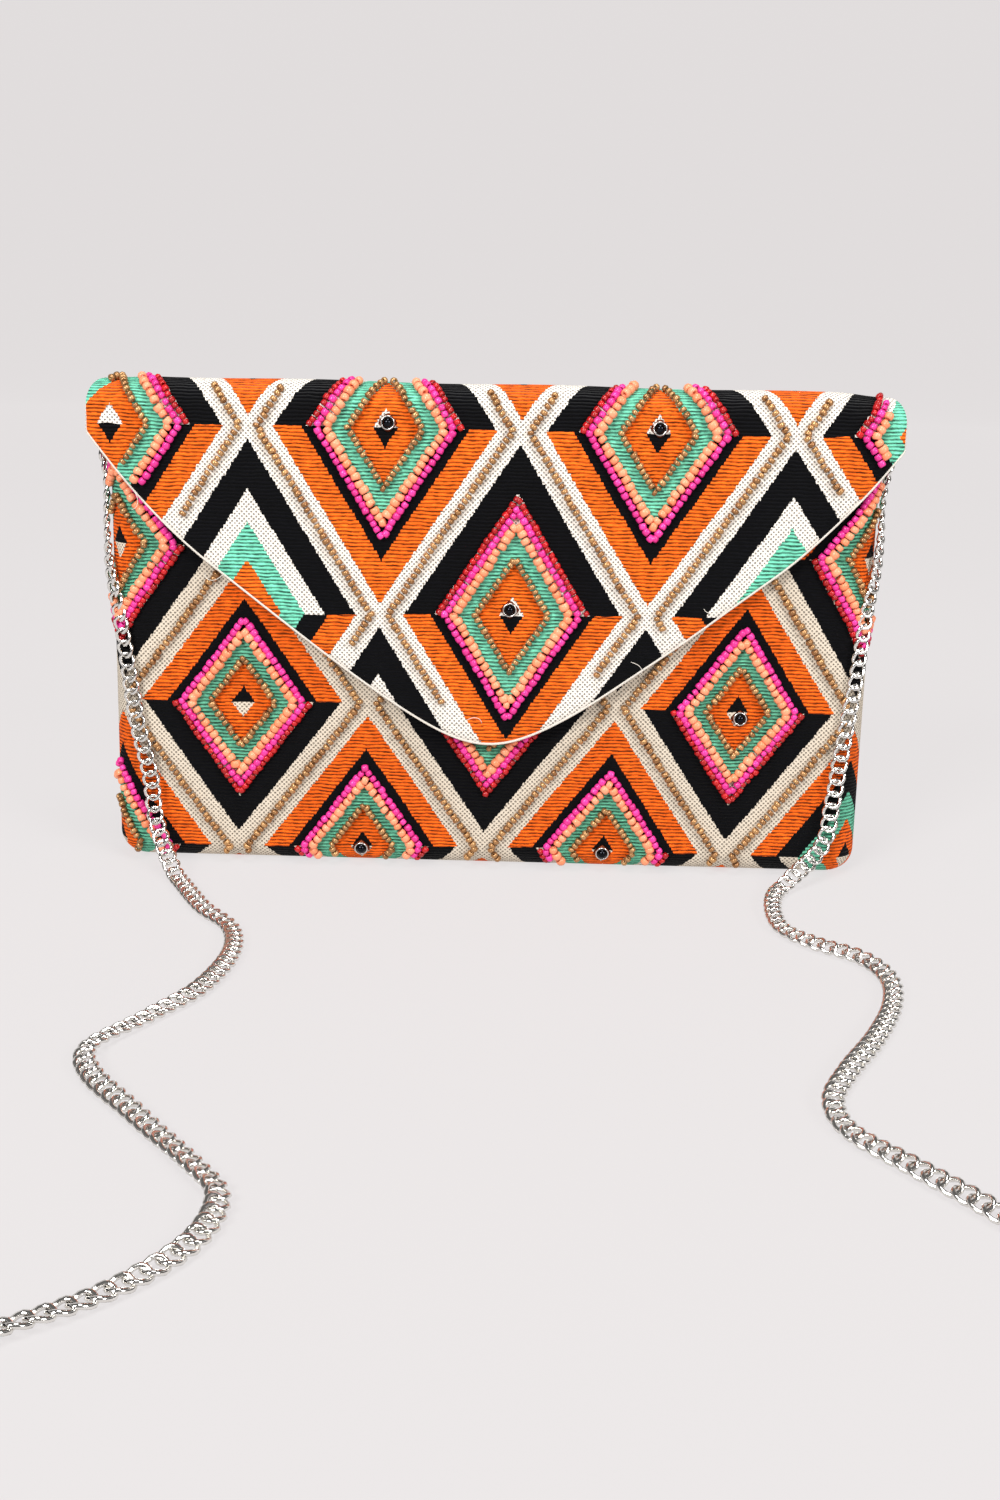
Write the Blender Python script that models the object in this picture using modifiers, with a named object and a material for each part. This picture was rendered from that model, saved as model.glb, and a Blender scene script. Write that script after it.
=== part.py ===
"""Envelope clutch purse with a curb-chain strap: every sub-part is its own object.

Metres, +Z up. +X runs along the width, the front faces -Y, and the origin is the middle of the base.
"""
import math

import bmesh
import bpy
from mathutils import Matrix, Vector

# body shell: a tapered stadium section from the base to the mouth
halfWidthBase = 0.1390     # half the width at the base
halfWidthMouth = 0.1375    # half the width at the mouth
bagHeight = 0.1760         # base to the top of the fold
foldRadius = 0.0100        # outer radius of the cloth where it folds over the top
foldY = 0.0048             # middle of the fold, so that the closed bag is centred on its base
backSpread = 0.0010        # how far the back leans out towards the base
frontSpread = 0.0076       # how far the front leans out towards the base
mouthDrop = 0.0160         # the mouth lies this far below the top of the fold
baseRadius = 0.0085        # rounding of the lower edges
baseBand = 0.0115          # height of the base's tray
sideBand = 0.0130          # width of each side wall in front view

# layers of the wall
coverThick = 0.0012
boardThick = 0.0010
liningThick = 0.0006
gap = 0.0003               # air between touching pieces
boardShort = 0.0040        # the boards stop this far below the mouth
boardSide = 0.0020         # and this far inside the side walls
boardLow = 0.0010          # and this far above the base's tray
liningShort = 0.0010       # the lining stops this far below the mouth
pocketHalfWidth = 0.0620
pocketLow = 0.0500         # height of the slip pocket's lower edge
pocketDrop = 0.0300        # mouth to the slip pocket's edge

# flap
flapHalfWidth = 0.1430
flapTipDrop = 0.1175       # fold to the tip, along the flap
flapSlope = 0.80           # slope of the straight stretch of the V
flapTipRound = 0.0250      # softness of the tip
flapCornerStart = 0.1000   # from here outwards the edge steepens
flapCornerSteep = 6.2      # per metre
flapLean = math.radians(4.0)
flapBoardInset = 0.0070
pipingRadius = 0.0009

# magnetic snap
snapDrop = 0.1000          # fold to the snap, along the flap
snapRadius = 0.0072
socketThick = 0.0013
studThick = 0.0006
studBossRadius = 0.0019
studBossLength = 0.0008
bossClearance = 0.0005

# rings and chain
barDrop = 0.0135           # the ring's bar lies this far below the top of the fold
ringWire = 0.0008
ringHalfWidth = 0.0040
ringDrop = 0.0062
jumpRadius = 0.0024
jumpWire = 0.00055
ringStandOff = 0.0034      # the bar stands this far out from the side wall
chainTube = 0.0025         # radius of the plain tube that stands for the flat chain
chainSpacing = 0.0164      # distance between the tube's points
tabWidth = 0.0052

# beaded diamonds: columns alternate by half a repeat
columnPitch = 0.0478
rowPitch = 0.0660
diamondSlope = 1.72        # height over half width of the diamonds
patternX = 0.0067          # column of the diamond in the middle of the flap
patternDrop = 0.0690       # fold to that diamond, along the flap
goldRing = 0.0115
coralRing = 0.0196
magentaRing = 0.0230
redRing = 0.0262
beadRadius = {"gold": 0.0009, "coral": 0.0016, "magenta": 0.0012, "red": 0.0011}
gemRadius = 0.0029
gemHeight = 0.0019
frontDiamondX = 0.0918     # the diamond at the right of the front
frontDiamondDrop = 0.1010  # mouth to its middle, along the front
strandStep = 0.0009        # the half rings stop this far short of the middle line

foldZ = bagHeight - foldRadius
mouthZ = bagHeight - mouthDrop
flapThick = coverThick + boardThick + liningThick + 2 * gap
ringHang = ringDrop + jumpRadius - jumpWire - ringWire - gap   # bar to the jump ring's middle


def makeCollection(name):
    collection = bpy.data.collections.new(name)
    bpy.context.scene.collection.children.link(collection)
    return collection


for old in list(bpy.data.objects):
    bpy.data.objects.remove(old, do_unlink=True)
purse = makeCollection("clutch_purse")
cutters = makeCollection("cutters")
materials = {}


def finish(name, colour, roughness, metallic):
    """One Principled material for each finish."""
    if name not in materials:
        made = bpy.data.materials.new(name)
        made.use_nodes = True
        shader = made.node_tree.nodes["Principled BSDF"]
        shader.inputs["Base Color"].default_value = (*colour, 1.0)
        shader.inputs["Roughness"].default_value = roughness
        shader.inputs["Metallic"].default_value = metallic
        materials[name] = made
    return materials[name]


def cloth():
    return finish("jacquard_cloth", (0.85, 0.30, 0.10), 0.85, 0.0)


def board():
    return finish("grey_board", (0.45, 0.42, 0.38), 0.9, 0.0)


def liningCloth():
    return finish("lining_satin", (0.80, 0.76, 0.68), 0.5, 0.0)


def steel():
    return finish("polished_steel", (0.80, 0.80, 0.80), 0.15, 1.0)


def glass(colourName):
    colours = {"gold": (0.55, 0.36, 0.16), "coral": (0.93, 0.38, 0.20),
               "magenta": (0.75, 0.04, 0.33), "red": (0.65, 0.02, 0.03), "gem": (0.35, 0.36, 0.38)}
    return finish("glass_" + colourName, colours[colourName], 0.25, 0.0)


def register(thing, material, collection=purse):
    """Puts an object in the purse's collection with its material."""
    for holder in list(thing.users_collection):
        holder.objects.unlink(thing)
    collection.objects.link(thing)
    if material:
        thing.data.materials.clear()
        thing.data.materials.append(material)
    return thing


def newObject(name, mesh, material, collection=purse):
    thing = bpy.data.objects.new(name, mesh)
    return register(thing, material, collection)


def meshFrom(builder, name):
    """A mesh from a bmesh that the builder fills."""
    work = bmesh.new()
    builder(work)
    bmesh.ops.recalc_face_normals(work, faces=work.faces)
    mesh = bpy.data.meshes.new(name)
    work.to_mesh(mesh)
    work.free()
    return mesh


def asCutter(thing):
    thing.hide_render = True
    thing.display_type = "WIRE"
    return thing


def boxBetween(name, low, high, material=None, collection=purse):
    """A box from its lowest to its highest corner."""
    size = [h - l for l, h in zip(low, high)]
    middle = [(l + h) / 2 for l, h in zip(low, high)]

    def build(work):
        bmesh.ops.create_cube(work, size=1.0)
        bmesh.ops.scale(work, vec=size, verts=work.verts)
        bmesh.ops.translate(work, vec=middle, verts=work.verts)

    return newObject(name, meshFrom(build, name), material, collection)


def cutterBox(name, low, high):
    return asCutter(boxBetween(name, low, high, None, cutters))


def boolean(thing, other, operation):
    step = thing.modifiers.new(operation.lower() + "_" + other.name, "BOOLEAN")
    step.operation = operation
    step.object = other
    step.solver = "EXACT"


def smooth(thing, angle=35.0):
    thing.data.shade_smooth()
    thing.data.set_sharp_from_angle(angle=math.radians(angle))
    return thing


# ---- the body's wall -------------------------------------------------------------------------------

def wallAt(z):
    """Half width, front y and back y of the outer surface at a height."""
    share = (mouthZ - z) / mouthZ
    halfWidth = halfWidthMouth + (halfWidthBase - halfWidthMouth) * share
    front = foldY - (foldRadius - flapThick - 2 * gap) - frontSpread * share
    back = foldY + foldRadius + backSpread * share
    return halfWidth, front, back


def stadium(z, inset, arcSteps=8):
    """Points of one level section: straight front and back, round sides."""
    halfWidth, front, back = wallAt(z)
    middle = (front + back) / 2
    depth = (back - front) / 2 - inset
    centre = halfWidth - (back - front) / 2
    points = []
    for side in (1, -1):
        for step in range(arcSteps + 1):
            angle = -math.pi / 2 + math.pi * step / arcSteps
            x = side * (centre + depth * math.cos(angle))
            points.append((x, middle + side * depth * math.sin(angle), z))
    return points


def shellBlock(name, inset, top, bottom=0.0):
    """A closed loft: the body's outer form moved in by an inset, from its rounded base to a top level."""
    radius = max(baseRadius - inset, 0.002)
    roundSteps = 4
    rings = []
    for step in range(roundSteps + 1):
        angle = math.pi / 2 * step / roundSteps
        rise = radius * (1 - math.cos(angle))
        pull = radius * (1 - math.sin(angle))
        rings.append(stadium(bottom + inset + rise, inset + pull))
    rings.append(stadium(top, inset))

    def build(work):
        levels = [[work.verts.new(point) for point in ring] for ring in rings]
        count = len(levels[0])
        for low, high in zip(levels, levels[1:]):
            for index in range(count):
                following = (index + 1) % count
                work.faces.new((low[index], low[following], high[following], high[index]))
        work.faces.new(list(reversed(levels[0])))
        work.faces.new(levels[-1])

    return asCutter(newObject(name, meshFrom(build, name), None, cutters))


def wallPiece(name, outerInset, innerInset, low, high, material, top):
    """The layer of wall between two insets, kept inside one box."""
    outer = shellBlock("outer_" + name, outerInset, top)
    inner = shellBlock("inner_" + name, innerInset, top + 0.02)
    piece = newObject(name, outer.data.copy(), material)
    boolean(piece, inner, "DIFFERENCE")
    boolean(piece, cutterBox("region_" + name, low, high), "INTERSECT")
    return smooth(piece)


def makeBody():
    far = 0.3
    middleY = sum(wallAt(0.09)[1:]) / 2
    sideX = halfWidthMouth - sideBand
    half = gap / 2
    bandTop = baseBand
    wallPiece("front_cover", 0.0, coverThick, (-sideX + half, -far, bandTop + half),
              (sideX - half, middleY, far), cloth(), mouthZ)
    wallPiece("back_cover", 0.0, coverThick, (-sideX + half, middleY, bandTop + half),
              (sideX - half, far, far), cloth(), foldZ)
    wallPiece("left_side_cover", 0.0, coverThick, (-far, -far, bandTop + half),
              (-sideX - half, far, far), cloth(), mouthZ)
    wallPiece("right_side_cover", 0.0, coverThick, (sideX + half, -far, bandTop + half),
              (far, far, far), cloth(), mouthZ)
    wallPiece("base_cover", 0.0, coverThick, (-far, -far, -far), (far, far, bandTop - half),
              cloth(), mouthZ)
    boardOut = coverThick + gap
    boardIn = boardOut + boardThick
    boardTop = mouthZ - boardShort
    wallPiece("front_board", boardOut, boardIn, (-sideX + boardSide, -far, bandTop + boardLow),
              (sideX - boardSide, middleY, far), board(), boardTop)
    wallPiece("back_board", boardOut, boardIn, (-sideX + boardSide, middleY, bandTop + boardLow),
              (sideX - boardSide, far, far), board(), boardTop)
    wallPiece("base_board", boardOut, boardIn, (-sideX + boardSide, -far, -far),
              (sideX - boardSide, far, boardIn + gap), board(), boardTop)
    liningOut = boardIn + gap
    wallPiece("body_lining", liningOut, liningOut + liningThick, (-far, -far, -far), (far, far, far),
              liningCloth(), mouthZ - liningShort)
    pocketOut = liningOut + liningThick + gap
    wallPiece("slip_pocket", pocketOut, pocketOut + liningThick, (-pocketHalfWidth, middleY, pocketLow),
              (pocketHalfWidth, far, far), liningCloth(), mouthZ - pocketDrop)


# ---- the fold and the flap -------------------------------------------------------------------------

def halfPipe(name, outer, thick, halfWidth, startAngle, endAngle, steps, material):
    """A strip of cloth that turns over the top: an arc along X, thickened inwards."""

    def build(work):
        rows = []
        for x in (-halfWidth, halfWidth):
            row = []
            for step in range(steps + 1):
                angle = startAngle + (endAngle - startAngle) * step / steps
                row.append(work.verts.new((x, foldY + outer * math.cos(angle),
                                           foldZ + outer * math.sin(angle))))
            rows.append(row)
        for index in range(steps):
            work.faces.new((rows[0][index], rows[0][index + 1], rows[1][index + 1], rows[1][index]))

    mesh = meshFrom(build, name)
    strip = newObject(name, mesh, material)
    if mesh.polygons[0].normal.dot(mesh.polygons[0].center - Vector((0, foldY, foldZ))) < 0:
        mesh.flip_normals()
    wall = strip.modifiers.new("wall", "SOLIDIFY")
    wall.thickness = thick
    wall.offset = -1.0
    return smooth(strip)


def makeFold():
    start = gap / foldRadius
    end = math.pi - flapLean - gap / foldRadius
    width = flapHalfWidth - 0.0005
    halfPipe("top_fold_cover", foldRadius, coverThick, width, start, end, 14, cloth())
    inner = foldRadius - coverThick - gap
    halfPipe("top_fold_lining", inner, liningThick, width - 0.002, start * 2, end - start, 14,
             liningCloth())


def flapEdge(x):
    """Length of the flap below the fold at a distance from its middle line."""
    away = abs(x)
    straight = flapSlope * (math.hypot(away, flapTipRound) - flapTipRound)
    corner = flapCornerSteep * max(0.0, away - flapCornerStart) ** 2
    return flapTipDrop - straight - corner


def flapOutline(inset):
    """Outline of the flap in its own plane, x to the right and y down from the fold as negative."""
    half = flapHalfWidth - inset
    steps = 28
    points = [(-half, -inset - gap), (half, -inset - gap)]
    for step in range(steps + 1):
        x = half - 2 * half * step / steps
        points.append((x, -flapEdge(x) + inset * 1.25))
    return points


flapTop = Vector((0.0, foldY - foldRadius * math.cos(flapLean), foldZ - foldRadius * math.sin(-flapLean)))


def flapPlace(depth):
    """World matrix of a plane parallel to the flap, a depth behind its outer face."""
    turn = Matrix.Rotation(math.pi / 2 - flapLean, 4, "X")
    normal = turn.to_3x3() @ Vector((0, 0, 1))
    return Matrix.Translation(flapTop - normal * depth) @ turn


def flapSheet(name, inset, depth, thick, material):
    """A flat piece of the flap: an outline with thickness."""
    curve = bpy.data.curves.new(name, "CURVE")
    curve.dimensions = "2D"
    curve.fill_mode = "BOTH"
    curve.extrude = thick / 2
    points = flapOutline(inset)
    spline = curve.splines.new("POLY")
    spline.points.add(len(points) - 1)
    for target, (x, y) in zip(spline.points, points):
        target.co = (x, y, 0.0, 1.0)
    spline.use_cyclic_u = True
    sheet = bpy.data.objects.new(name, curve)
    sheet.matrix_world = flapPlace(depth + thick / 2)
    return register(sheet, material)


def tubeAlong(name, points, radius, material, closed=False, resolution=2):
    """A round tube with filled ends along a list of points."""
    curve = bpy.data.curves.new(name, "CURVE")
    curve.dimensions = "3D"
    curve.bevel_depth = radius
    curve.bevel_resolution = resolution
    curve.use_fill_caps = not closed
    spline = curve.splines.new("POLY")
    spline.points.add(len(points) - 1)
    for target, point in zip(spline.points, points):
        target.co = (*point, 1.0)
    spline.use_cyclic_u = closed
    return register(bpy.data.objects.new(name, curve), material)


def makeFlap():
    flapSheet("flap_cover", 0.0, 0.0, coverThick, cloth())
    flapSheet("flap_board", flapBoardInset, coverThick + gap, boardThick, board())
    flapSheet("flap_lining", 0.0015, coverThick + boardThick + 2 * gap, liningThick, liningCloth())
    place = flapPlace(coverThick + gap + boardThick / 2)
    half = flapHalfWidth
    steps = 30
    edge = []
    for step in range(steps + 1):
        x = half * 0.985 - 2 * half * 0.985 * step / steps
        edge.append(place @ Vector((x, -flapEdge(x) - pipingRadius - gap * 2, 0.0)))
    return edge


# ---- magnetic snap ---------------------------------------------------------------------------------

def disc(name, radius, thick, place, material, hole=0.0, segments=24):
    """A disc whose lower face lies in a plane, with an optional hole through it."""

    def build(work):
        bmesh.ops.create_cone(work, cap_ends=True, segments=segments, radius1=radius, radius2=radius,
                              depth=thick)
        bmesh.ops.translate(work, vec=(0, 0, thick / 2), verts=work.verts)

    thing = newObject(name, meshFrom(build, name), material)
    thing.matrix_world = place
    if hole:
        def buildHole(work):
            bmesh.ops.create_cone(work, cap_ends=True, segments=segments, radius1=hole, radius2=hole,
                                  depth=thick * 4)

        cut = asCutter(newObject("hole_" + name, meshFrom(buildHole, "hole_" + name), None, cutters))
        cut.matrix_world = place
        boolean(thing, cut, "DIFFERENCE")
    return smooth(thing)


def makeSnap():
    flapPlane = flapPlace(0.0)
    outward = (flapPlane.to_3x3() @ Vector((0, 0, 1))).normalized()
    onFlap = flapPlane @ Vector((0.0, -snapDrop, 0.0))
    studFace = onFlap - outward * (flapThick + gap)
    z = studFace.z
    front = wallAt(z)[1]
    lean = math.atan(frontSpread / mouthZ)
    facing = Matrix.Rotation(math.pi / 2 - lean, 4, "X")
    wallOut = (facing.to_3x3() @ Vector((0, 0, 1))).normalized()
    seat = Vector((0.0, front, z)) + wallOut * gap
    disc("snap_socket", snapRadius, socketThick, Matrix.Translation(seat) @ facing, steel(),
         hole=studBossRadius + bossClearance)
    backTurn = Matrix.Rotation(math.pi / 2 + math.pi - flapLean, 4, "X")
    stud = disc("snap_stud", snapRadius, studThick, Matrix.Translation(studFace) @ backTurn, steel())

    def buildBoss(work):
        bmesh.ops.create_cone(work, cap_ends=True, segments=20, radius1=studBossRadius,
                              radius2=studBossRadius * 0.85, depth=studThick + studBossLength)
        bmesh.ops.translate(work, vec=(0, 0, (studThick + studBossLength) / 2), verts=work.verts)

    boss = asCutter(newObject("boss_snap_stud", meshFrom(buildBoss, "boss_snap_stud"), None, cutters))
    boss.matrix_world = stud.matrix_world.copy()
    boolean(stud, boss, "UNION")


# ---- rings on their tabs ---------------------------------------------------------------------------

def makeRing(side):
    """Fabric tab, D-shaped ring and jump ring at one side of the mouth."""
    word = "left" if side < 0 else "right"
    barX = side * (halfWidthMouth + ringStandOff)
    barZ = bagHeight - barDrop
    middleY = sum(wallAt(mouthZ)[1:]) / 2
    pivot = Vector((barX, middleY, barZ))
    loopOuter = ringWire + gap + 0.0009

    def buildLoop(work):
        bmesh.ops.create_cone(work, cap_ends=True, segments=16, radius1=loopOuter, radius2=loopOuter,
                              depth=tabWidth)

    turn = Matrix.Rotation(math.pi / 2, 4, "X")
    tab = newObject(word + "_ring_tab", meshFrom(buildLoop, word + "_ring_tab"), cloth())
    tab.matrix_world = Matrix.Translation(pivot) @ turn
    tailIn = side * (halfWidthMouth - coverThick - 0.0008)
    low = (min(tailIn, barX - side * ringWire * 1.6), middleY - tabWidth / 2 + 0.0001, mouthZ + gap)
    high = (max(tailIn, barX - side * ringWire * 1.6), middleY + tabWidth / 2 - 0.0001, barZ + 0.0006)
    tail = asCutter(boxBetween("tail_" + word, low, high, None, cutters))
    boolean(tab, tail, "UNION")

    def buildBore(work):
        bmesh.ops.create_cone(work, cap_ends=True, segments=16, radius1=ringWire + gap,
                              radius2=ringWire + gap, depth=tabWidth * 3)

    bore = asCutter(newObject("bore_" + word, meshFrom(buildBore, "bore_" + word), None, cutters))
    bore.matrix_world = tab.matrix_world.copy()
    boolean(tab, bore, "DIFFERENCE")

    ringPoints = []
    bowSteps = 10
    for step in range(bowSteps + 1):
        angle = math.pi * step / bowSteps
        ringPoints.append((0.0, ringHalfWidth * math.cos(angle), -ringDrop * math.sin(angle) ** 0.75))
    ring = tubeAlong(word + "_d_ring", ringPoints, ringWire, steel(), closed=True)
    ring.location = pivot
    bpy.ops.mesh.primitive_torus_add(major_radius=jumpRadius, minor_radius=jumpWire, major_segments=20,
                                     minor_segments=8)
    jump = bpy.context.active_object
    jump.name = word + "_jump_ring"
    register(jump, steel())
    outwards = side * (jumpWire - 0.0001)
    jump.data.transform(Matrix.Translation((outwards, 0, -ringHang)) @ Matrix.Rotation(math.pi / 2, 4, "X"))
    jump.location = pivot
    smooth(jump)


# ---- chain -----------------------------------------------------------------------------------------

# beside the bag: height, degrees round the side from its middle to the front, shift inwards, shift away
leftBeside = [(0.1400, 9, 0.0, 0.0), (0.1220, 14, 0.0, 0.0003), (0.1080, 36, 0.0, 0.0003),
              (0.0940, 58, 0.0, 0.0002), (0.0760, 71, 0.0, 0.0), (0.0540, 84, 0.0, 0.0),
              (0.0330, 90, 0.0030, 0.0010), (0.0160, 90, 0.0056, 0.0048)]
rightBeside = [(0.1400, 8, 0.0, 0.0), (0.1250, 24, 0.0, 0.0003), (0.1120, 38, 0.0, 0.0003),
               (0.0970, 57, 0.0, 0.0002), (0.0740, 67, 0.0, 0.0), (0.0490, 81, 0.0, 0.0),
               (0.0290, 90, 0.0, 0.0010), (0.0130, 90, 0.0030, 0.0030)]
leftTable = [(-0.1108, -0.0325), (-0.0964, -0.0598), (-0.0835, -0.0770), (-0.0793, -0.1000),
             (-0.0840, -0.1260), (-0.0957, -0.1460), (-0.1068, -0.1660), (-0.1020, -0.1825),
             (-0.0854, -0.2027), (-0.0657, -0.2265), (-0.0570, -0.2410), (-0.0600, -0.2600),
             (-0.0755, -0.2790)]
farLoop = [(-0.0990, -0.2975), (-0.1090, -0.3200), (-0.0960, -0.3410), (-0.0500, -0.3490),
           (0.0100, -0.3500), (0.0700, -0.3480), (0.1180, -0.3300), (0.1405, -0.2960),
           (0.1400, -0.2620)]
rightTable = [(0.1254, -0.2385), (0.1105, -0.2190), (0.0985, -0.2020), (0.0965, -0.1860),
              (0.1040, -0.1690), (0.1161, -0.1477), (0.1262, -0.1240), (0.1293, -0.1050),
              (0.1240, -0.0895), (0.1110, -0.0780), (0.1022, -0.0640), (0.1022, -0.0430),
              (0.1085, -0.0265)]


def besideBag(side, height, degrees, inwards, away):
    """A point of the chain's middle where it touches the round side or the front of the bag."""
    halfWidth, front, back = wallAt(height)
    depth = (back - front) / 2
    reach = depth + chainTube + gap + away
    angle = math.radians(degrees)
    x = halfWidth - depth + reach * math.cos(angle) - inwards
    return (side * x, (front + back) / 2 - reach * math.sin(angle), height)


def chainRoute():
    """The whole route, from the left jump ring round to the right one."""
    lie = chainTube + gap
    top = (bagHeight - barDrop) - ringHang - jumpRadius - jumpWire - gap
    middleY = sum(wallAt(mouthZ)[1:]) / 2
    ends = [(side * (halfWidthMouth + ringStandOff), middleY, top) for side in (-1, 1)]
    left = [besideBag(-1, *place) for place in leftBeside]
    right = [besideBag(1, *place) for place in reversed(rightBeside)]
    table = [(x, y, lie) for x, y in leftTable + farLoop + rightTable]
    return [ends[0]] + left + table + right + [ends[1]]


def smoothLine(points, spacing):
    """Even points along a Catmull-Rom curve through the route's own points."""
    route = [Vector(point) for point in points]
    fine = []
    for index in range(len(route) - 1):
        before = route[max(index - 1, 0)]
        start, end = route[index], route[index + 1]
        after = route[min(index + 2, len(route) - 1)]
        for step in range(20):
            t = step / 20
            fine.append(0.5 * ((2 * start) + (end - before) * t
                               + (2 * before - 5 * start + 4 * end - after) * t ** 2
                               + (3 * start - before - 3 * end + after) * t ** 3))
    fine.append(route[-1])
    total = sum((b - a).length for a, b in zip(fine, fine[1:]))
    count = max(2, round(total / spacing))
    even = [fine[0]]
    target, walked = total / count, 0.0
    for a, b in zip(fine, fine[1:]):
        step = (b - a).length
        while walked + step >= target - 1e-9 and len(even) < count:
            even.append(a.lerp(b, (target - walked) / step))
            target += total / count
        walked += step
    even.append(fine[-1])
    return even


def makeChain():
    lie = chainTube + gap
    line = smoothLine(chainRoute(), chainSpacing)
    line = [Vector((point.x, point.y, max(point.z, lie))) for point in line]
    leftCut = min(range(len(line)), key=lambda i: (line[i] - Vector((*leftTable[0], lie))).length)
    rightCut = min(range(len(line)), key=lambda i: (line[i] - Vector((*rightTable[-1], lie))).length)

    def halfway(index, away):
        """A point in the middle of a segment, moved along it by half the gap."""
        along = (line[index + 1] - line[index]).normalized()
        return (line[index] + line[index + 1]) / 2 + along * away * gap / 2

    first = line[:leftCut + 1] + [halfway(leftCut, -1)]
    middle = [halfway(leftCut, 1)] + line[leftCut + 1:rightCut] + [halfway(rightCut - 1, -1)]
    last = [halfway(rightCut - 1, 1)] + line[rightCut:]
    tubeAlong("left_chain_drop", first, chainTube, steel())
    tubeAlong("strap_chain", middle, chainTube, steel())
    tubeAlong("right_chain_drop", last, chainTube, steel())


# ---- beads and gems --------------------------------------------------------------------------------

def diamond(size, tip=0.0018):
    """Points round a diamond with softened tips."""
    corners = [(size, 0.0), (0.0, size * diamondSlope), (-size, 0.0), (0.0, -size * diamondSlope)]
    points = []
    for index, (x, y) in enumerate(corners):
        beforeX, beforeY = corners[index - 1]
        afterX, afterY = corners[(index + 1) % 4]
        for otherX, otherY in ((beforeX, beforeY), (afterX, afterY)):
            away = math.hypot(otherX - x, otherY - y)
            points.append((x + (otherX - x) * tip / away, y + (otherY - y) * tip / away))
    return points


def makeBeads():
    """Strings of beads round the diamonds, and the gems in their middles."""
    place = flapPlace(0.0)

    def strand(name, matrix, x, drop, size, colour, part):
        radius = beadRadius[colour]
        lift = radius + gap
        if part == "ring":
            points = diamond(size)
        elif part == "lower":
            points = [(size - strandStep / 2, -strandStep), (0.0014, -size * diamondSlope + 0.0024),
                      (0.0, -size * diamondSlope + 0.0016), (-0.0014, -size * diamondSlope + 0.0024),
                      (-size + strandStep / 2, -strandStep)]
        else:
            points = [(size - strandStep / 2, strandStep), (0.0014, size * diamondSlope - 0.0024),
                      (0.0, size * diamondSlope - 0.0016), (-0.0014, size * diamondSlope - 0.0024),
                      (-size + strandStep / 2, strandStep)]
        line = [matrix @ Vector((x + px, -drop + py, lift)) for px, py in points]
        tubeAlong(name, line, radius, glass(colour), closed=part == "ring", resolution=1)

    def gem(name, matrix, x, drop):
        def build(work):
            bmesh.ops.create_cone(work, cap_ends=True, segments=12, radius1=gemRadius,
                                  radius2=gemRadius * 0.62, depth=gemHeight)
            bmesh.ops.translate(work, vec=(0, 0, gemHeight / 2 + gap), verts=work.verts)

        stud = newObject(name, meshFrom(build, name), glass("gem"))
        stud.matrix_world = matrix @ Matrix.Translation((x, -drop, 0.0))

    sizes = {"gold": goldRing, "coral": coralRing, "magenta": magentaRing}
    for colour, size in sizes.items():
        strand("flap_middle_%s_beads" % colour, place, patternX, patternDrop, size, colour, "ring")
    strand("flap_middle_red_beads", place, patternX, patternDrop, redRing, "red", "upper")
    gem("flap_middle_gem", place, patternX, patternDrop)
    upperDrop = patternDrop - rowPitch
    for word, side in (("left", -1), ("right", 1)):
        x = patternX + side * columnPitch
        for colour, size in sizes.items():
            strand("flap_%s_%s_beads" % (word, colour), place, x, upperDrop, size, colour, "lower")
        gem("flap_%s_gem" % word, place, x, upperDrop + gemRadius)
    lean = math.atan(frontSpread / mouthZ)
    facing = Matrix.Rotation(math.pi / 2 - lean, 4, "X")
    front = Matrix.Translation((0.0, wallAt(mouthZ)[1], mouthZ)) @ facing
    for colour, size in sizes.items():
        strand("front_right_%s_beads" % colour, front, frontDiamondX, frontDiamondDrop, size, colour, "ring")
    strand("front_right_red_beads", front, frontDiamondX, frontDiamondDrop, redRing, "red", "lower")
    gem("front_right_gem", front, frontDiamondX, frontDiamondDrop)


makeBody()
makeFold()
flapPiping = makeFlap()
tubeAlong("flap_piping", flapPiping, pipingRadius, cloth(), resolution=1)
makeSnap()
for whichSide in (-1, 1):
    makeRing(whichSide)
makeChain()
makeBeads()
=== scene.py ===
import functools
import math
import bpy
import numpy as np
from mathutils import Matrix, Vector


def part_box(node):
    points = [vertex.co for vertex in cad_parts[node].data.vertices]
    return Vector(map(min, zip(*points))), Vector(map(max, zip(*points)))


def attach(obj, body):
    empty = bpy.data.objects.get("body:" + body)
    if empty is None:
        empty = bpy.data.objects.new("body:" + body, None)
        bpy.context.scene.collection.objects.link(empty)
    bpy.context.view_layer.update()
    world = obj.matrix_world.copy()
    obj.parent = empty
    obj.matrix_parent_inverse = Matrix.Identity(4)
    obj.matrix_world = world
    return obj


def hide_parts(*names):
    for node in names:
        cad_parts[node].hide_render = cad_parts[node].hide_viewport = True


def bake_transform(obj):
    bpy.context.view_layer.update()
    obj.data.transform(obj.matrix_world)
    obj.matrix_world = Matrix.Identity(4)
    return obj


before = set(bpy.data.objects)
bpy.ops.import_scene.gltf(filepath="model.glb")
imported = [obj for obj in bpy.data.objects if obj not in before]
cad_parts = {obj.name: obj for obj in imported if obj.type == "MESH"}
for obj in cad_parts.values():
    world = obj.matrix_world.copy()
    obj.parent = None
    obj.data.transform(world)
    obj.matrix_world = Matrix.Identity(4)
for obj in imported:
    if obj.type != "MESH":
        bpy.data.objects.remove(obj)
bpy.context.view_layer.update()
scene = bpy.context.scene
print("frame loaded:", len(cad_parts), "nodes")

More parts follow.
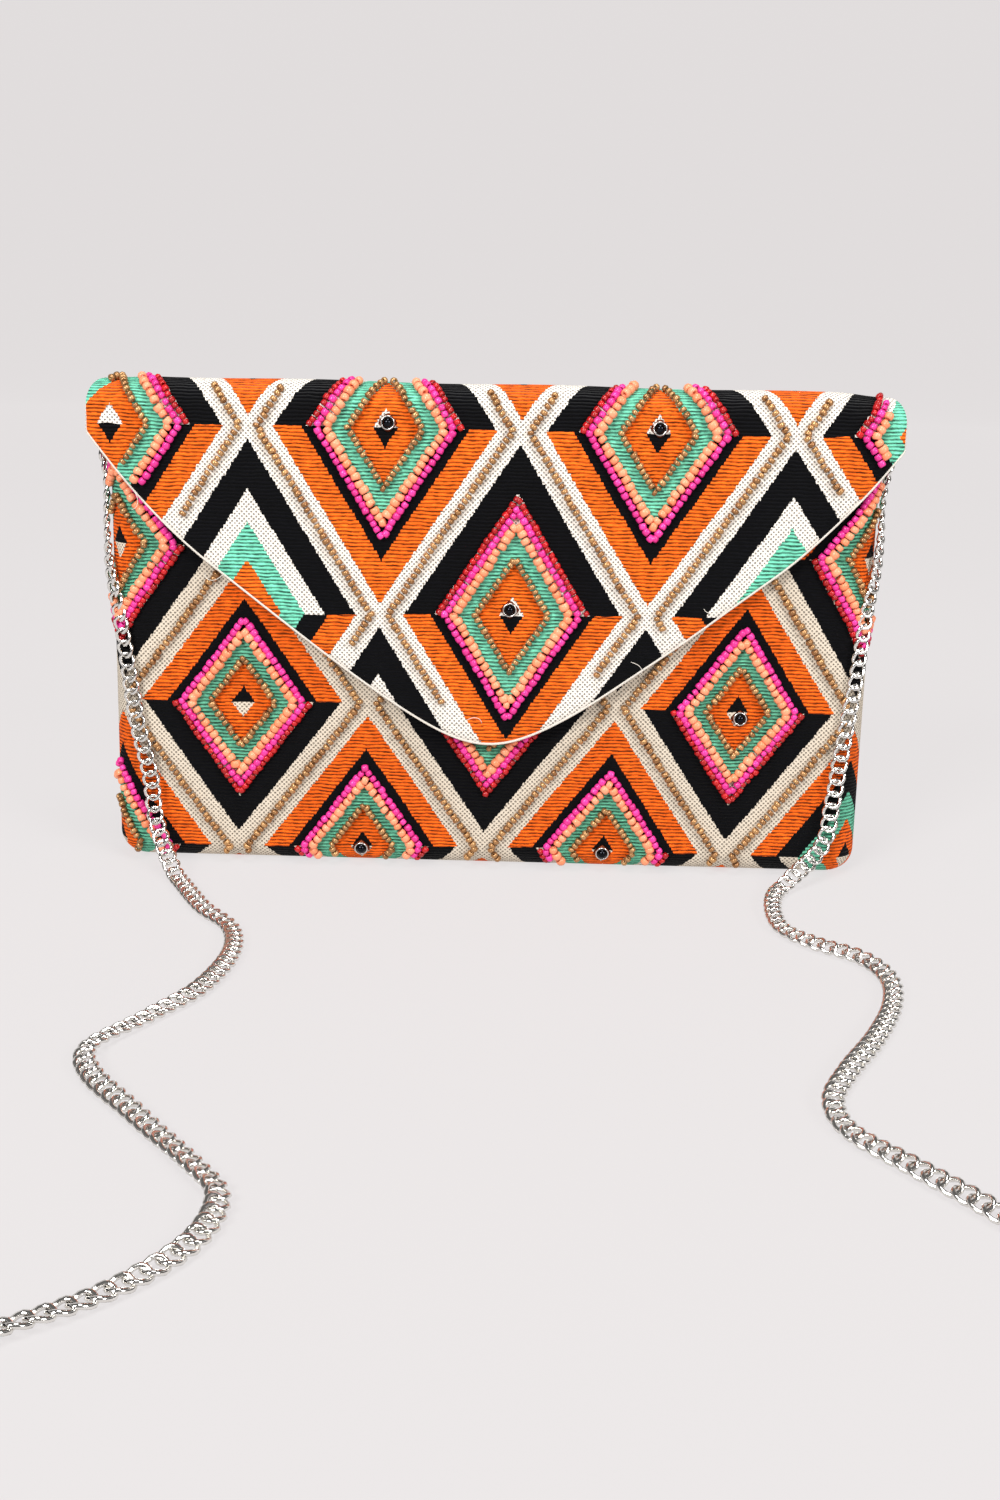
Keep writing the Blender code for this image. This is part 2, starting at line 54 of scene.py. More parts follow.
# the purse's own sizes in metres, as the frame has them
purse = {
    "halfWidthMouth": 0.1375, "halfWidthSpread": 0.0015, "mouthZ": 0.160,
    "frontMouthY": -0.0012, "frontSpread": 0.0076, "backMouthY": 0.0148, "backSpread": 0.0010,
    "baseRadius": 0.0085, "baseDepth": 0.0123, "halfGirth": 0.1480,
    "foldY": 0.0048, "foldZ": 0.1660, "foldRadius": 0.0100, "lean": math.radians(4.0),
    "flapHalf": 0.1430, "cornerPull": 0.0050, "clothThick": 0.0012, "snapZ": 0.0667,
}
frontTurn = math.pi - purse["lean"]          # angle of the fold where the flap starts
middleTurn = math.radians(88.0)              # the fold's two creases meet here


def unit(vectors):
    # each vector over its own length
    return vectors / np.maximum(np.linalg.norm(vectors, axis=-1, keepdims=True), 1e-12)


def smoothStep(value):
    # 0 below 0, 1 above 1, and 3t² − 2t³ between
    t = np.clip(value, 0.0, 1.0)
    return t * t * (3.0 - 2.0 * t)


def addPiece(name, points, faces, finish, maps=None, shades=None, sharp=None):
    # whole arrays go into the mesh at once; faces is a list of index arrays, one row a face
    mesh = bpy.data.meshes.new(name)
    sizes = np.concatenate([np.full(len(part), part.shape[1]) for part in faces])
    corners = np.concatenate([part.ravel() for part in faces]).astype(np.int32)
    flat = np.ascontiguousarray(points, dtype=np.float32).ravel()
    mesh.vertices.add(len(flat) // 3)
    mesh.vertices.foreach_set("co", flat)
    mesh.loops.add(len(corners))
    mesh.loops.foreach_set("vertex_index", corners)
    mesh.polygons.add(len(sizes))
    mesh.polygons.foreach_set("loop_start", (np.cumsum(sizes) - sizes).astype(np.int32))
    mesh.update(calc_edges=True)
    for mapName, values in (maps or {}).items():
        layer = mesh.uv_layers.new(name=mapName)
        layer.data.foreach_set("uv", values.reshape(-1, 2)[corners].astype(np.float32).ravel())
    if shades is not None:
        layer = mesh.attributes.new("shade", "FLOAT", "POINT")
        layer.data.foreach_set("value", shades.astype(np.float32))
    mesh.validate()
    mesh.shade_smooth()
    if sharp:
        mesh.set_sharp_from_angle(angle=sharp)
    piece = bpy.data.objects.new(name, mesh)
    scene.collection.objects.link(piece)
    piece.data.materials.append(finish)
    return piece


def gridFaces(rows, columns, wrapColumns=False, wrapRows=False, start=0):
    # a quad for each cell of a grid whose points are numbered row by row
    r = np.arange(rows if wrapRows else rows - 1)[:, None]
    c = np.arange(columns if wrapColumns else columns - 1)[None, :]
    nextR = (r + 1) % rows
    nextC = (c + 1) % columns
    return start + np.stack([r * columns + c, r * columns + nextC, nextR * columns + nextC,
                             nextR * columns + c], axis=-1).reshape(-1, 4)


def gridNormals(grid, outward):
    # cross product of the two directions of the grid, turned to agree with outward
    normal = unit(np.cross(np.gradient(grid, axis=1), np.gradient(grid, axis=0)))
    if (normal * outward).sum() < 0:
        return -normal, True
    return normal, False


def addSheet(name, grid, thick, outward, finish, maps=None):
    # the outer face is the grid, the inner face lies thick behind it, and four strips close the rim
    rows, columns = grid.shape[:2]
    normal, turned = gridNormals(grid, outward)
    points = np.concatenate([grid.reshape(-1, 3), (grid - normal * thick).reshape(-1, 3)])
    count = rows * columns
    outer = gridFaces(rows, columns)
    inner = outer[:, ::-1] + count
    index = np.arange(count).reshape(rows, columns)
    rim = np.concatenate([index[0, :], index[1:, -1], index[-1, -2::-1], index[-2:0:-1, 0]])
    after = np.roll(rim, -1)
    wall = np.stack([after, rim, rim + count, after + count], axis=-1)
    faces = np.concatenate([outer, inner, wall])
    if turned:
        faces = faces[:, ::-1]
    doubled = {key: np.concatenate([value.reshape(-1, 2)] * 2) for key, value in (maps or {}).items()}
    return addPiece(name, points, [faces], finish, doubled, sharp=math.radians(50))


def addTube(name, path, radius, finish, sides=8):
    # a round section carried along a path that lies near the flap's plane, and two caps: the section's first
    # direction is the flap's facing, less its share along the path
    forward = unit(np.gradient(path, axis=0))
    side = unit(np.array([0, 1.0, 0]) - forward * forward[:, 1:2])
    across = np.cross(forward, side)
    angle = np.linspace(0, 2 * math.pi, sides, endpoint=False)
    size = np.broadcast_to(np.asarray(radius, dtype=float), (len(path),))[:, None, None]
    ring = (side[:, None] * np.cos(angle)[None, :, None] + across[:, None] * np.sin(angle)[None, :, None])
    points = (path[:, None] + ring * size).reshape(-1, 3)
    points = np.concatenate([points, path[:1], path[-1:]])
    body = gridFaces(len(path), sides, wrapColumns=True)
    turn = np.arange(sides)
    last = (len(path) - 1) * sides
    startCap = np.stack([np.roll(turn, -1), turn, np.full(sides, len(points) - 2)], axis=-1)
    endCap = np.stack([last + turn, last + np.roll(turn, -1), np.full(sides, len(points) - 1)], axis=-1)
    length = np.concatenate([[0], np.cumsum(np.linalg.norm(np.diff(path, axis=0), axis=1))])
    around = np.broadcast_to(angle / (2 * math.pi), (len(path), sides))
    along = np.broadcast_to(length[:, None], (len(path), sides))
    cloth = np.concatenate([np.stack([along, around], axis=-1).reshape(-1, 2),
                            [[0, 0], [length[-1], 0]]])
    return addPiece(name, points, [body, startCap, endCap], finish, {"cloth": cloth})


def addCopies(name, places, forward, normal, shape, faces, finish, shades=None):
    # one small shape set at every place: its x runs forward, its z along the normal
    side = unit(np.cross(normal, forward))
    up = np.cross(forward, side)
    points = (places[:, None] + forward[:, None] * shape[..., 0:1] + side[:, None] * shape[..., 1:2]
              + up[:, None] * shape[..., 2:3])
    copies, count = points.shape[:2]
    every = [(part[None] + (np.arange(copies) * count)[:, None, None]).reshape(-1, part.shape[1])
             for part in faces]
    return addPiece(name, points.reshape(-1, 3), every, finish, None,
                    None if shades is None else np.repeat(shades, count))


def linear(text):
    # an sRGB hex value as linear light
    values = np.array([int(text[i:i + 2], 16) / 255.0 for i in (1, 3, 5)])
    values = np.where(values <= 0.04045, values / 12.92, ((values + 0.055) / 1.055) ** 2.4)
    return (*[float(v) for v in values], 1.0)


def feed(node, places):
    # each input, by its number or name, gets a value or another node's output
    for place, value in places.items():
        if isinstance(value, bpy.types.NodeSocket):
            node.id_data.links.new(value, node.inputs[place])
        else:
            node.inputs[place].default_value = value


def addNode(tree, kind, *values, out=0, **named):
    # one node: its operation may follow its kind, values fill its inputs in order, names in small letters
    # are settings, and other names and i6 are inputs; _ stands for a space
    kind, _, operation = kind.partition(" ")
    node = tree.nodes.new("ShaderNode" + kind)
    if operation:
        node.operation = operation
    places = dict(enumerate(values))
    for key, value in named.items():
        if key[1:].isdigit():
            places[int(key[1:])] = value
        elif key[0].isupper():
            places[key.replace("_", " ")] = value
        else:
            setattr(node, key, value)
    feed(node, places)
    return node if out is None else node.outputs[out]


def newFinish(name, **sockets):
    # a material, the function that adds nodes to it, and its shader with the shader's own sockets set
    material = bpy.data.materials.new(name)
    material.use_nodes = True
    shader = material.node_tree.nodes["Principled BSDF"]
    feed(shader, {key.replace("_", " "): value for key, value in sockets.items()})
    return material, functools.partial(addNode, material.node_tree), shader


# the woven repeat in metres: family A sits at even columns and rows, family B half a repeat away
repeat = {"column": 0.0465, "row": 0.0650, "slope": 1.60, "rib": 0.0013, "stepNoise": 0.0004,
          "ragged": 0.0009, "reach": 0.05, "canvasCell": 0.00170}
halfSum = (repeat["column"] + repeat["row"] / repeat["slope"]) / 2
flapColour = {"cream": "#EEE7DC", "black": "#050508", "orange": "#F5691A", "teal": "#72CFAE"}
bodyColour = {"cream": "#D8CBB8", "black": "#050508", "orange": "#F06418", "teal": "#66B998"}


def jacquard(name, bands, clothColour):
    # jacquard woven in brushed wool and cotton on open cream canvas: soft level ribs, ragged band edges
    material, add, shader = newFinish(name, Roughness=0.90, Sheen_Weight=0.04, Sheen_Roughness=0.5,
                                       Specular_IOR_Level=0.08)
    place = add("UVMap", uv_map="repeat")
    cloth = add("UVMap", uv_map="cloth")
    place = add("SeparateXYZ", place, out=None).outputs
    thread = add("SeparateXYZ", cloth, out=None).outputs
    # the rows wander a little, as hand-laid yarn does
    wander = add("TexNoise", cloth, Scale=150.0, Detail=2.0)
    rowPlace = add("Math MULTIPLY_ADD", wander, 0.9, add("Math DIVIDE", thread[1], repeat["rib"]))
    row = add("Math FLOOR", rowPlace)
    within = add("Math SUBTRACT", rowPlace, row)
    # each thread row ends its colour a little early or late
    rowNoise = add("TexWhiteNoise", noise_dimensions="1D", W=row)
    edge = add("TexNoise", cloth, Scale=420.0, Detail=2.0)
    shift = add("Math MULTIPLY_ADD", rowNoise, repeat["stepNoise"], -0.5 * repeat["stepNoise"])
    shift = add("Math MULTIPLY_ADD", edge, repeat["ragged"], shift)
    high = add("Math MULTIPLY_ADD", add("Math SUBTRACT", 0.5, within), 0.6 * repeat["rib"], place[1])
    across = add("Math PINGPONG", place[0], repeat["column"])
    upright = add("Math PINGPONG", high, repeat["row"])
    fromA = add("Math MULTIPLY_ADD", upright, 1.0 / repeat["slope"], across)
    fromB = add("Math SUBTRACT", 2 * halfSum, fromA)
    near = add("Math ADD", add("Math MINIMUM", fromA, fromB), shift)
    isA = add("Math LESS_THAN", fromA, fromB)
    above = add("Math GREATER_THAN", add("Math WRAP", high, repeat["row"], -repeat["row"]), 0.0)
    upper = add("Math COMPARE", isA, above, 0.1)
    share = add("Math DIVIDE", near, repeat["reach"])
    halves = []
    for key in ("upper", "lower"):
        ramp = add("ValToRGB", share, out=None)
        ramp.color_ramp.interpolation = "CONSTANT"
        stops = ramp.color_ramp.elements
        for number, (start, colour) in enumerate(bands[key]):
            stop = stops[0] if number == 0 else stops.new(start / repeat["reach"])
            stop.position = start / repeat["reach"]
            stop.color = (*linear(clothColour[colour])[:3], 0.0 if colour == "cream" else 1.0)
        stops.remove(stops[-1])
        halves.append(ramp)
    lower, higher = halves[1].outputs, halves[0].outputs
    colour = add("Mix", upper, i6=lower[0], i7=higher[0], out=2, data_type="RGBA")
    wool = add("Mix", upper, i2=lower[1], i3=higher[1])
    # wool rows: a round rib with fibres drawn out sideways. Their colour carries painted shade: in patches
    # the row edges go dark, as the gaps between rows lie in shade.
    rib = add("Math SINE", add("Math MULTIPLY", within, math.pi))
    drawn = add("Mapping", cloth, Scale=(300.0, 1250.0, 1.0))
    fibre = add("TexNoise", drawn, Scale=1.0, Detail=3.0, Roughness=0.6)
    broad = add("TexNoise", cloth, Scale=60.0, Detail=2.0)
    # painted shade in the gaps between rows: where this noise is high, the row edges are painted dark
    gapShadeNoise = add("TexNoise", cloth, Scale=330.0, Detail=3.0)
    gapShare = add("Math MULTIPLY_ADD", gapShadeNoise, 4.5, -1.75, use_clamp=True)
    gapDepth = add("Math MULTIPLY", gapShare, 1.05)
    # painted rib shade, times fibre streaks and broad random tone, multiplies the wool's colour
    ribShadeAndTone = add("Math MULTIPLY_ADD", add("Math SUBTRACT", rib, 1.0), gapDepth, 1.10)
    ribShadeAndTone = add("Math MULTIPLY", ribShadeAndTone, add("Math MULTIPLY_ADD", fibre, 1.75, 0.16))
    ribShadeAndTone = add("Math MULTIPLY", ribShadeAndTone, add("Math MULTIPLY_ADD", broad, 0.50, 0.76))
    woolColour = add("Mix", 1.0, i6=colour, i7=add("CombineColor", ribShadeAndTone, ribShadeAndTone, ribShadeAndTone), out=2,
                     data_type="RGBA", blend_type="MULTIPLY")
    # canvas: open weave, its 0.95 mm holes drawn at 1.2 mm so that they show, each row set off by half. The
    # holes are painted dark grey-brown as the shade inside them.
    cell = 2 * math.pi / repeat["canvasCell"]
    waveX = add("Math SINE", add("Math MULTIPLY", thread[0], cell))
    waveY = add("Math SINE", add("Math MULTIPLY", thread[1], cell))
    canvas = add("Math MULTIPLY", waveX, waveY)
    canvasNoise = add("TexNoise", cloth, Scale=900.0, Detail=1.0)
    uneven = add("Math MULTIPLY_ADD", canvasNoise, 1.5, -0.75)
    hole = add("MapRange", add("Math ADD", canvas, uneven), From_Min=0.15, From_Max=0.85,
               interpolation_type="SMOOTHSTEP")
    # painted shade in the canvas holes
    canvasColour = add("Mix", add("Math MULTIPLY", hole, 0.72), i6=colour, i7=linear("#5B5046"), out=2,
                       data_type="RGBA")
    base = add("Mix", wool, i6=canvasColour, i7=woolColour, out=2, data_type="RGBA")
    woolHeight = add("Math MULTIPLY_ADD", fibre, 0.5, rib)
    canvasHeight = add("Math SUBTRACT", 0.25, add("Math MULTIPLY", hole, 0.6))
    height = add("Mix", wool, i2=canvasHeight, i3=woolHeight)
    feed(shader, {"Base Color": base, "Normal": add("Bump", Height=height, Strength=1.0, Distance=0.00080)})
    return material


flapBands = {
    "upper": [(0.0, "cream"), (0.0045, "orange"), (0.0122, "teal"), (0.0205, "cream"), (0.0275, "black"),
              (0.0382, "cream")],
    "lower": [(0.0, "black"), (0.0045, "orange"), (0.0122, "teal"), (0.0205, "black"), (0.0290, "orange"),
              (0.0385, "cream")]}
bodyBands = {
    "upper": [(0.0, "black"), (0.0045, "orange"), (0.0116, "teal"), (0.0195, "black"), (0.0280, "orange"),
              (0.0375, "cream")],
    "lower": [(0.0, "cream"), (0.0045, "orange"), (0.0116, "teal"), (0.0195, "cream"), (0.0262, "black"),
              (0.0365, "cream")]}
flapCloth = jacquard("brushed_wool_jacquard_flap", flapBands, flapColour)
bodyCloth = jacquard("brushed_wool_jacquard_body", bodyBands, bodyColour)


def plainWeave(name, colour, dark, pitch, roughness):
    # plain woven cotton in one colour: small over-and-under squares whose darker colour is painted shade
    # where the threads dip, deeper in patches
    material, add, shader = newFinish(name, Roughness=roughness, Sheen_Weight=0.1, Specular_IOR_Level=0.3)
    cloth = add("UVMap", uv_map="cloth")
    thread = add("SeparateXYZ", cloth, out=None).outputs
    waveX = add("Math SINE", add("Math MULTIPLY", thread[0], 2 * math.pi / pitch))
    waveY = add("Math SINE", add("Math MULTIPLY", thread[1], 2 * math.pi / pitch))
    weave = add("Math MULTIPLY_ADD", add("Math MULTIPLY", waveX, waveY), 0.5, 0.5)
    patchyWeaveShade = add("TexNoise", cloth, Scale=180.0, Detail=3.0)
    # painted shade in the weave's dips, deeper where this noise is high
    factor = add("Math MULTIPLY", weave, add("Math MULTIPLY_ADD", patchyWeaveShade, 0.8, 0.1))
    base = add("Mix", factor, i6=linear(colour), i7=linear(dark), out=2, data_type="RGBA")
    feed(shader, {"Base Color": base, "Normal": add("Bump", Height=weave, Strength=0.4, Distance=0.0002)})
    return material


def glassBead(name, colour, deep, roughness, metallic=0.0):
    # pressed glass seed bead: even bright colour that differs a little from bead to bead, small sharp gleam
    material, add, shader = newFinish(name, Roughness=roughness, Metallic=metallic)
    shade = add("Attribute", attribute_name="shade", out="Fac")
    spot = add("TexCoord", out="Object")
    fine = add("TexNoise", spot, Scale=900.0, Detail=1.0)
    factor = add("Math MULTIPLY_ADD", fine, 0.25, add("Math MULTIPLY_ADD", shade, 0.75, -0.05))
    base = add("Mix", factor, i6=linear(colour), i7=linear(deep), out=2, data_type="RGBA")
    feed(shader, {"Base Color": base})
    return material


def metal(name, colour, second, roughness, grain):
    # polished or brushed metal: bright mirror with faint cloudiness from handling
    material, add, shader = newFinish(name, Metallic=1.0, Roughness=roughness)
    spot = add("TexCoord", out="Object")
    cloud = add("TexNoise", spot, Scale=grain, Detail=3.0)
    base = add("Mix", cloud, i6=linear(colour), i7=linear(second), out=2, data_type="RGBA")
    feed(shader, {"Base Color": base, "Roughness": add("Math MULTIPLY_ADD", cloud, 0.10, roughness - 0.05)})
    return material


def cardboard(name):
    # pressed grey board: dull, mottled, with short fibres
    material, add, shader = newFinish(name, Roughness=0.9)
    spot = add("TexCoord", out="Object")
    fibre = add("TexNoise", spot, Scale=600.0, Detail=5.0)
    base = add("Mix", fibre, i6=linear("#8D8678"), i7=linear("#B4AC9C"), out=2, data_type="RGBA")
    feed(shader, {"Base Color": base, "Normal": add("Bump", Height=fibre, Strength=0.3, Distance=0.0002)})
    return material


liningCloth = plainWeave("woven_cotton_lining", "#D8CDBB", "#B6A993", 0.0009, 0.85)
canvasEdge = plainWeave("woven_canvas_edge", "#F2ECE1", "#B7AC9B", 0.0008, 0.85)
coralGlass = glassBead("pressed_glass_coral", "#FFA47C", "#F08A5C", 0.30)
magentaGlass = glassBead("pressed_glass_magenta", "#F63FA4", "#D3257F", 0.30)
redGlass = glassBead("pressed_glass_red", "#C9161A", "#8E0B0C", 0.28)
goldGlass = glassBead("metallised_glass_gold", "#C99A66", "#875A34", 0.30, 0.55)
polishedSteel = metal("polished_nickel_plated_steel", "#F3F1ED", "#D9D6D0", 0.10, 260.0)
darkMirror = metal("polished_hematite", "#2B2C31", "#16161A", 0.10, 400.0)
silverRing = metal("cast_silver_plate", "#E9E6E2", "#B7B2AC", 0.22, 900.0)
copperSetting = metal("stamped_copper", "#8A4A30", "#4A2318", 0.42, 1500.0)
greyBoard = cardboard("pressed_grey_board")
print("materials ready")


# where the drawn diamonds really fall: column, row of the repeat, then x and height on the cloth in metres
flapKnots = np.array([
    (0, 0, 0.0064, -0.0696), (-1, 1, -0.0376, -0.0053), (1, 1, 0.0578, -0.0056), (-3, 1, -0.1351, -0.0063),
    (-2, 0, -0.0875, -0.0729), (2, 0, 0.1087, -0.0667), (-2, 1, -0.0863, -0.0060),
    (-1, 0, -0.0390, -0.0717), (1, 0, 0.0536, -0.0707), (0, 1, 0.0092, -0.0071), (2, 1, 0.1037, -0.0065)])
bodyKnots = np.array([
    (-2, 0, -0.0897, 0.0601), (2, 0, 0.0912, 0.0613), (-1, 0, -0.0439, 0.0618), (1, 0, 0.0482, 0.0624),
    (0, 0, 0.0015, 0.0618), (-2, -1, -0.0907, 0.0039), (-1, -1, -0.0463, 0.0093), (0, -1, -0.0017, 0.0079),
    (1, -1, 0.0433, 0.0103), (2, -1, 0.0864, 0.0060), (-3, 0, -0.1332, 0.0594), (3, 0, 0.1300, 0.0602),
    (-3, 1, -0.1385, 0.1196), (3, 1, 0.1415, 0.1200), (3, -1, 0.1410, 0.0080), (-3, -1, -0.1475, 0.0091)])


def makeDrift(knots, reach=0.040):
    # a function of a point on the cloth: the Gaussian-weighted mean of the knots' shifts
    ideal = knots[:, :2] * [repeat["column"], repeat["row"]]
    real = knots[:, 2:]
    # a straight fit first, then the rest by nearness
    design = np.column_stack([np.ones(len(real)), real])
    fit = np.linalg.lstsq(design, ideal, rcond=None)[0]
    rest = ideal - design @ fit

    def toRepeat(points):
        # the straight fit, plus the mean of the rests weighted by a bell curve of distance
        flat = points.reshape(-1, 2)
        near = np.exp(-((flat[:, None] - real[None]) ** 2).sum(-1) / (2 * reach ** 2)) + 1e-4
        shift = near @ rest / near.sum(1, keepdims=True)
        return (np.column_stack([np.ones(len(flat)), flat]) @ fit + shift).reshape(points.shape)

    def toCloth(points):
        # the inverse, by correcting a first guess a few times
        back = np.linalg.inv(fit[1:])
        guess = (points - fit[0]) @ back
        for turn in range(8):
            guess = guess - (toRepeat(guess) - points) @ back
        return guess
    return toRepeat, toCloth


flapToRepeat, flapToCloth = makeDrift(flapKnots)
bodyToRepeat, bodyToCloth = makeDrift(bodyKnots)


vee = {"deep": 0.1175, "slope": 0.80, "tipRound": 0.025, "shoulder": 0.100, "shoulderBend": 6.2}


def flapEdge(x):
    # the V of the flap: a slope softened at the tip, and steeper outside the shoulder
    outside = np.maximum(0, np.abs(x) - vee["shoulder"])
    sloped = vee["slope"] * (np.hypot(x, vee["tipRound"]) - vee["tipRound"])
    return vee["deep"] - sloped - vee["shoulderBend"] * outside ** 2


def flapWave(x, drop):
    # slow waves of the boarded cloth, none at the crease
    grow = smoothStep(drop / 0.025)
    return grow * (0.00050 + 0.00050 * np.sin(x * 61.0 + 0.8) * np.cos(drop * 52.0)
                   + 0.00030 * np.sin(x * 117.0 - drop * 88.0))


def stripPlace(x, drop, out=0.0):
    # one strip of cloth: up the back, round the fold as an arc, and down the flap's plane
    radius = purse["foldRadius"]
    x, drop, out = np.broadcast_arrays(x, drop, out)
    turn = np.clip(frontTurn + np.minimum(drop, 0.0) / radius, 0.0, frontTurn)
    below = np.maximum(-drop - radius * frontTurn, 0.0)
    down = np.maximum(drop, 0.0)
    lean = purse["lean"]
    ends = smoothStep((np.abs(x) - 0.118) / 0.025)
    sink = 0.0011 * ends * np.sin(turn)
    reach = radius + out - sink + 0.00025 * np.sin(x * 74.0) * np.sin(turn)
    y = purse["foldY"] + np.cos(turn) * reach - down * math.sin(lean)
    z = purse["foldZ"] + np.sin(turn) * reach - down * math.cos(lean) - below
    wave = flapWave(x, down)
    y = y - wave * math.cos(lean) + below / purse["mouthZ"] * purse["backSpread"]
    narrow = 1.0 - purse["cornerPull"] / purse["flapHalf"] * (1.0 - np.abs(np.cos(turn))) * ends
    return np.stack([x * narrow, y, z], axis=-1)


def bodyBulge(u, z):
    # the filled front swells a little, but stays flat round the snap
    across = 1.0 - (np.abs(u) / 0.128) ** 4
    grown = np.clip(across, 0, 1) * np.sin(np.clip(z / 0.150, 0, 1) * math.pi)
    snap = 1.0 - np.exp(-(u ** 2 + (z - purse["snapZ"]) ** 2) / (2 * 0.016 ** 2))
    wave = 0.0004 * np.sin(u * 58.0 + 1.3) * np.cos(z * 47.0) + 0.0003 * np.sin(u * 131.0 + z * 74.0)
    return (0.0010 * grown + wave) * snap * np.clip(across, 0, 1)


def bodyPlace(u, v, side=-1.0, out=0.0, swell=1.0):
    # u runs round from one side's middle over the face to the other's, v up from under the base:
    # a stadium section whose face is straight and whose sides are round, with a round lower edge
    u, v, out = np.broadcast_arrays(u, v, out)
    radius = purse["baseRadius"]
    under = np.clip(radius - v, 0.0, None)
    rise = math.pi / 2 - np.minimum(under / radius, math.pi / 2)
    flat = np.clip(under - radius * math.pi / 2, 0.0, None)
    z = np.where(v < radius, radius * (1.0 - np.cos(rise)), v) - out * np.cos(rise)
    pull = radius * (1.0 - np.sin(rise)) + flat - out * np.sin(rise)
    share = np.clip((purse["mouthZ"] - z) / purse["mouthZ"], 0.0, 1.0)
    half = purse["halfWidthMouth"] + purse["halfWidthSpread"] * share
    front = purse["frontMouthY"] - purse["frontSpread"] * share
    back = purse["backMouthY"] + purse["backSpread"] * share
    depth = (back - front) / 2
    straight = half - depth
    turn = np.clip((np.abs(u) - straight) / (purse["halfGirth"] - straight), 0.0, 1.0)
    turn = turn * math.pi / 2 * np.sign(u)
    along = np.clip(u, -straight, straight)
    x = along + (depth - pull) * np.sin(turn)
    y = (front + back) / 2 + side * (depth - pull) * np.cos(turn)
    y = y + side * swell * bodyBulge(u, z) * np.clip(v / 0.02, 0, 1)
    return np.stack([x, y, z], axis=-1)


def surfaceFrame(place, first, second, out):
    # the point, and the two directions there from small differences
    step = 0.0004
    point = place(first, second, out)
    one = place(first + step, second, out) - place(first - step, second, out)
    two = place(first, second + step, out) - place(first, second - step, out)
    return point, one / (2 * step), two / (2 * step)


def clothMaps(toRepeat, u, v):
    # two maps: metres along the cloth, and the place in the woven repeat
    spots = np.stack(np.broadcast_arrays(u, v), axis=-1)
    return {"cloth": spots, "repeat": toRepeat(spots)}


def pathLength(points):
    # the sum of the straight steps from point to point
    return float(np.linalg.norm(np.diff(points, axis=0), axis=1).sum())


arcLength = purse["foldRadius"] * frontTurn
bodySheet = {"columns": 181, "wallRows": 72, "rimRadius": 0.0014, "turnIn": 0.010, "seam": 0.0003,
             "liningOut": -0.0034, "liningThick": 0.0006}


def bodyRows(top):
    # from the middle of the base, flat, round the lower edge and up the wall
    radius = purse["baseRadius"]
    start = radius - radius * math.pi / 2 - (purse["baseDepth"] - radius) + bodySheet["seam"]
    return np.concatenate([np.linspace(start, radius - radius * math.pi / 2, 4)[:-1],
                           np.linspace(radius - radius * math.pi / 2, radius, 12)[:-1],
                           np.linspace(radius, top, bodySheet["wallRows"])])


def makeBodySide(name, side, top, rim, finish, toRepeat, out, thick, swell=1.0, turnedOver=False):
    # half of the body's shell, from the base's middle up to the mouth
    u = np.linspace(-purse["halfGirth"], purse["halfGirth"], bodySheet["columns"])[None]
    v = bodyRows(top)[:, None]
    grid = bodyPlace(u, v, side, out, swell)
    along = np.broadcast_to(v, grid.shape[:2])
    if rim:
        # a half circle over the mouth's edge, then straight down inside
        radius = bodySheet["rimRadius"]
        turn = np.linspace(0, math.pi, 8)[1:, None]
        over = bodyPlace(u, np.full_like(turn, top), side, out - radius * (1 - np.cos(turn)))
        over = over + np.array([0, 0, 1.0]) * (radius * np.sin(turn))[..., None]
        deep = np.linspace(0.0, bodySheet["turnIn"], 5)[1:, None]
        inside = bodyPlace(u, top - deep, side, out - 2 * radius)
        grid = np.concatenate([grid, over, inside])
        extra = np.concatenate([top + radius * turn, top + radius * math.pi + deep])
        along = np.concatenate([along, np.broadcast_to(extra, (len(extra), grid.shape[1]))])
    outward = np.zeros_like(grid)
    outward[: len(v), :, 1] = side
    # the back is the flap's own cloth, further along, so its height counts from the crease
    height = arcLength + purse["foldZ"] - along if turnedOver else along * 1.0
    maps = clothMaps(toRepeat, np.broadcast_to(u, along.shape), height)
    return addSheet(name, grid, thick, outward, finish, maps)


frontCloth = makeBodySide("front_cloth", -1.0, purse["mouthZ"], True, bodyCloth, bodyToRepeat, 0.0,
                          purse["clothThick"])
backCloth = makeBodySide("back_cloth", 1.0, purse["mouthZ"] + 0.0002, False, flapCloth, flapToRepeat, 0.0,
                         purse["clothThick"], 0.6, True)
frontLining = makeBodySide("front_lining", -1.0, purse["mouthZ"] - 0.0015, False, liningCloth, bodyToRepeat,
                           bodySheet["liningOut"], bodySheet["liningThick"], 0.0)
backLining = makeBodySide("back_lining", 1.0, purse["mouthZ"] - 0.0005, False, liningCloth, bodyToRepeat,
                          bodySheet["liningOut"], bodySheet["liningThick"], 0.0)
for piece in (frontCloth, backCloth, frontLining, backLining):
    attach(piece, "bag")
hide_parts("front_cover", "left_side_cover", "right_side_cover", "base_cover")
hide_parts("back_cover")
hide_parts("body_lining")

pocket = {"half": 0.062, "low": 0.050, "high": 0.130, "off": -0.0044, "gape": 0.0022, "thick": 0.0006}
u = np.linspace(-pocket["half"], pocket["half"], 61)[None]
v = np.linspace(pocket["low"], pocket["high"], 41)[:, None]
slack = (1 - (u / pocket["half"]) ** 2) * smoothStep((v - pocket["low"]) / (pocket["high"] - pocket["low"]))
grid = bodyPlace(u, v, 1.0, pocket["off"] - pocket["gape"] * slack, 0.0)
slipPocket = addSheet("pocket_cloth", grid, pocket["thick"], np.array([0, -1.0, 0]) + grid * 0, liningCloth,
                      clothMaps(bodyToRepeat, u, v))
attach(slipPocket, "bag")
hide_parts("slip_pocket")


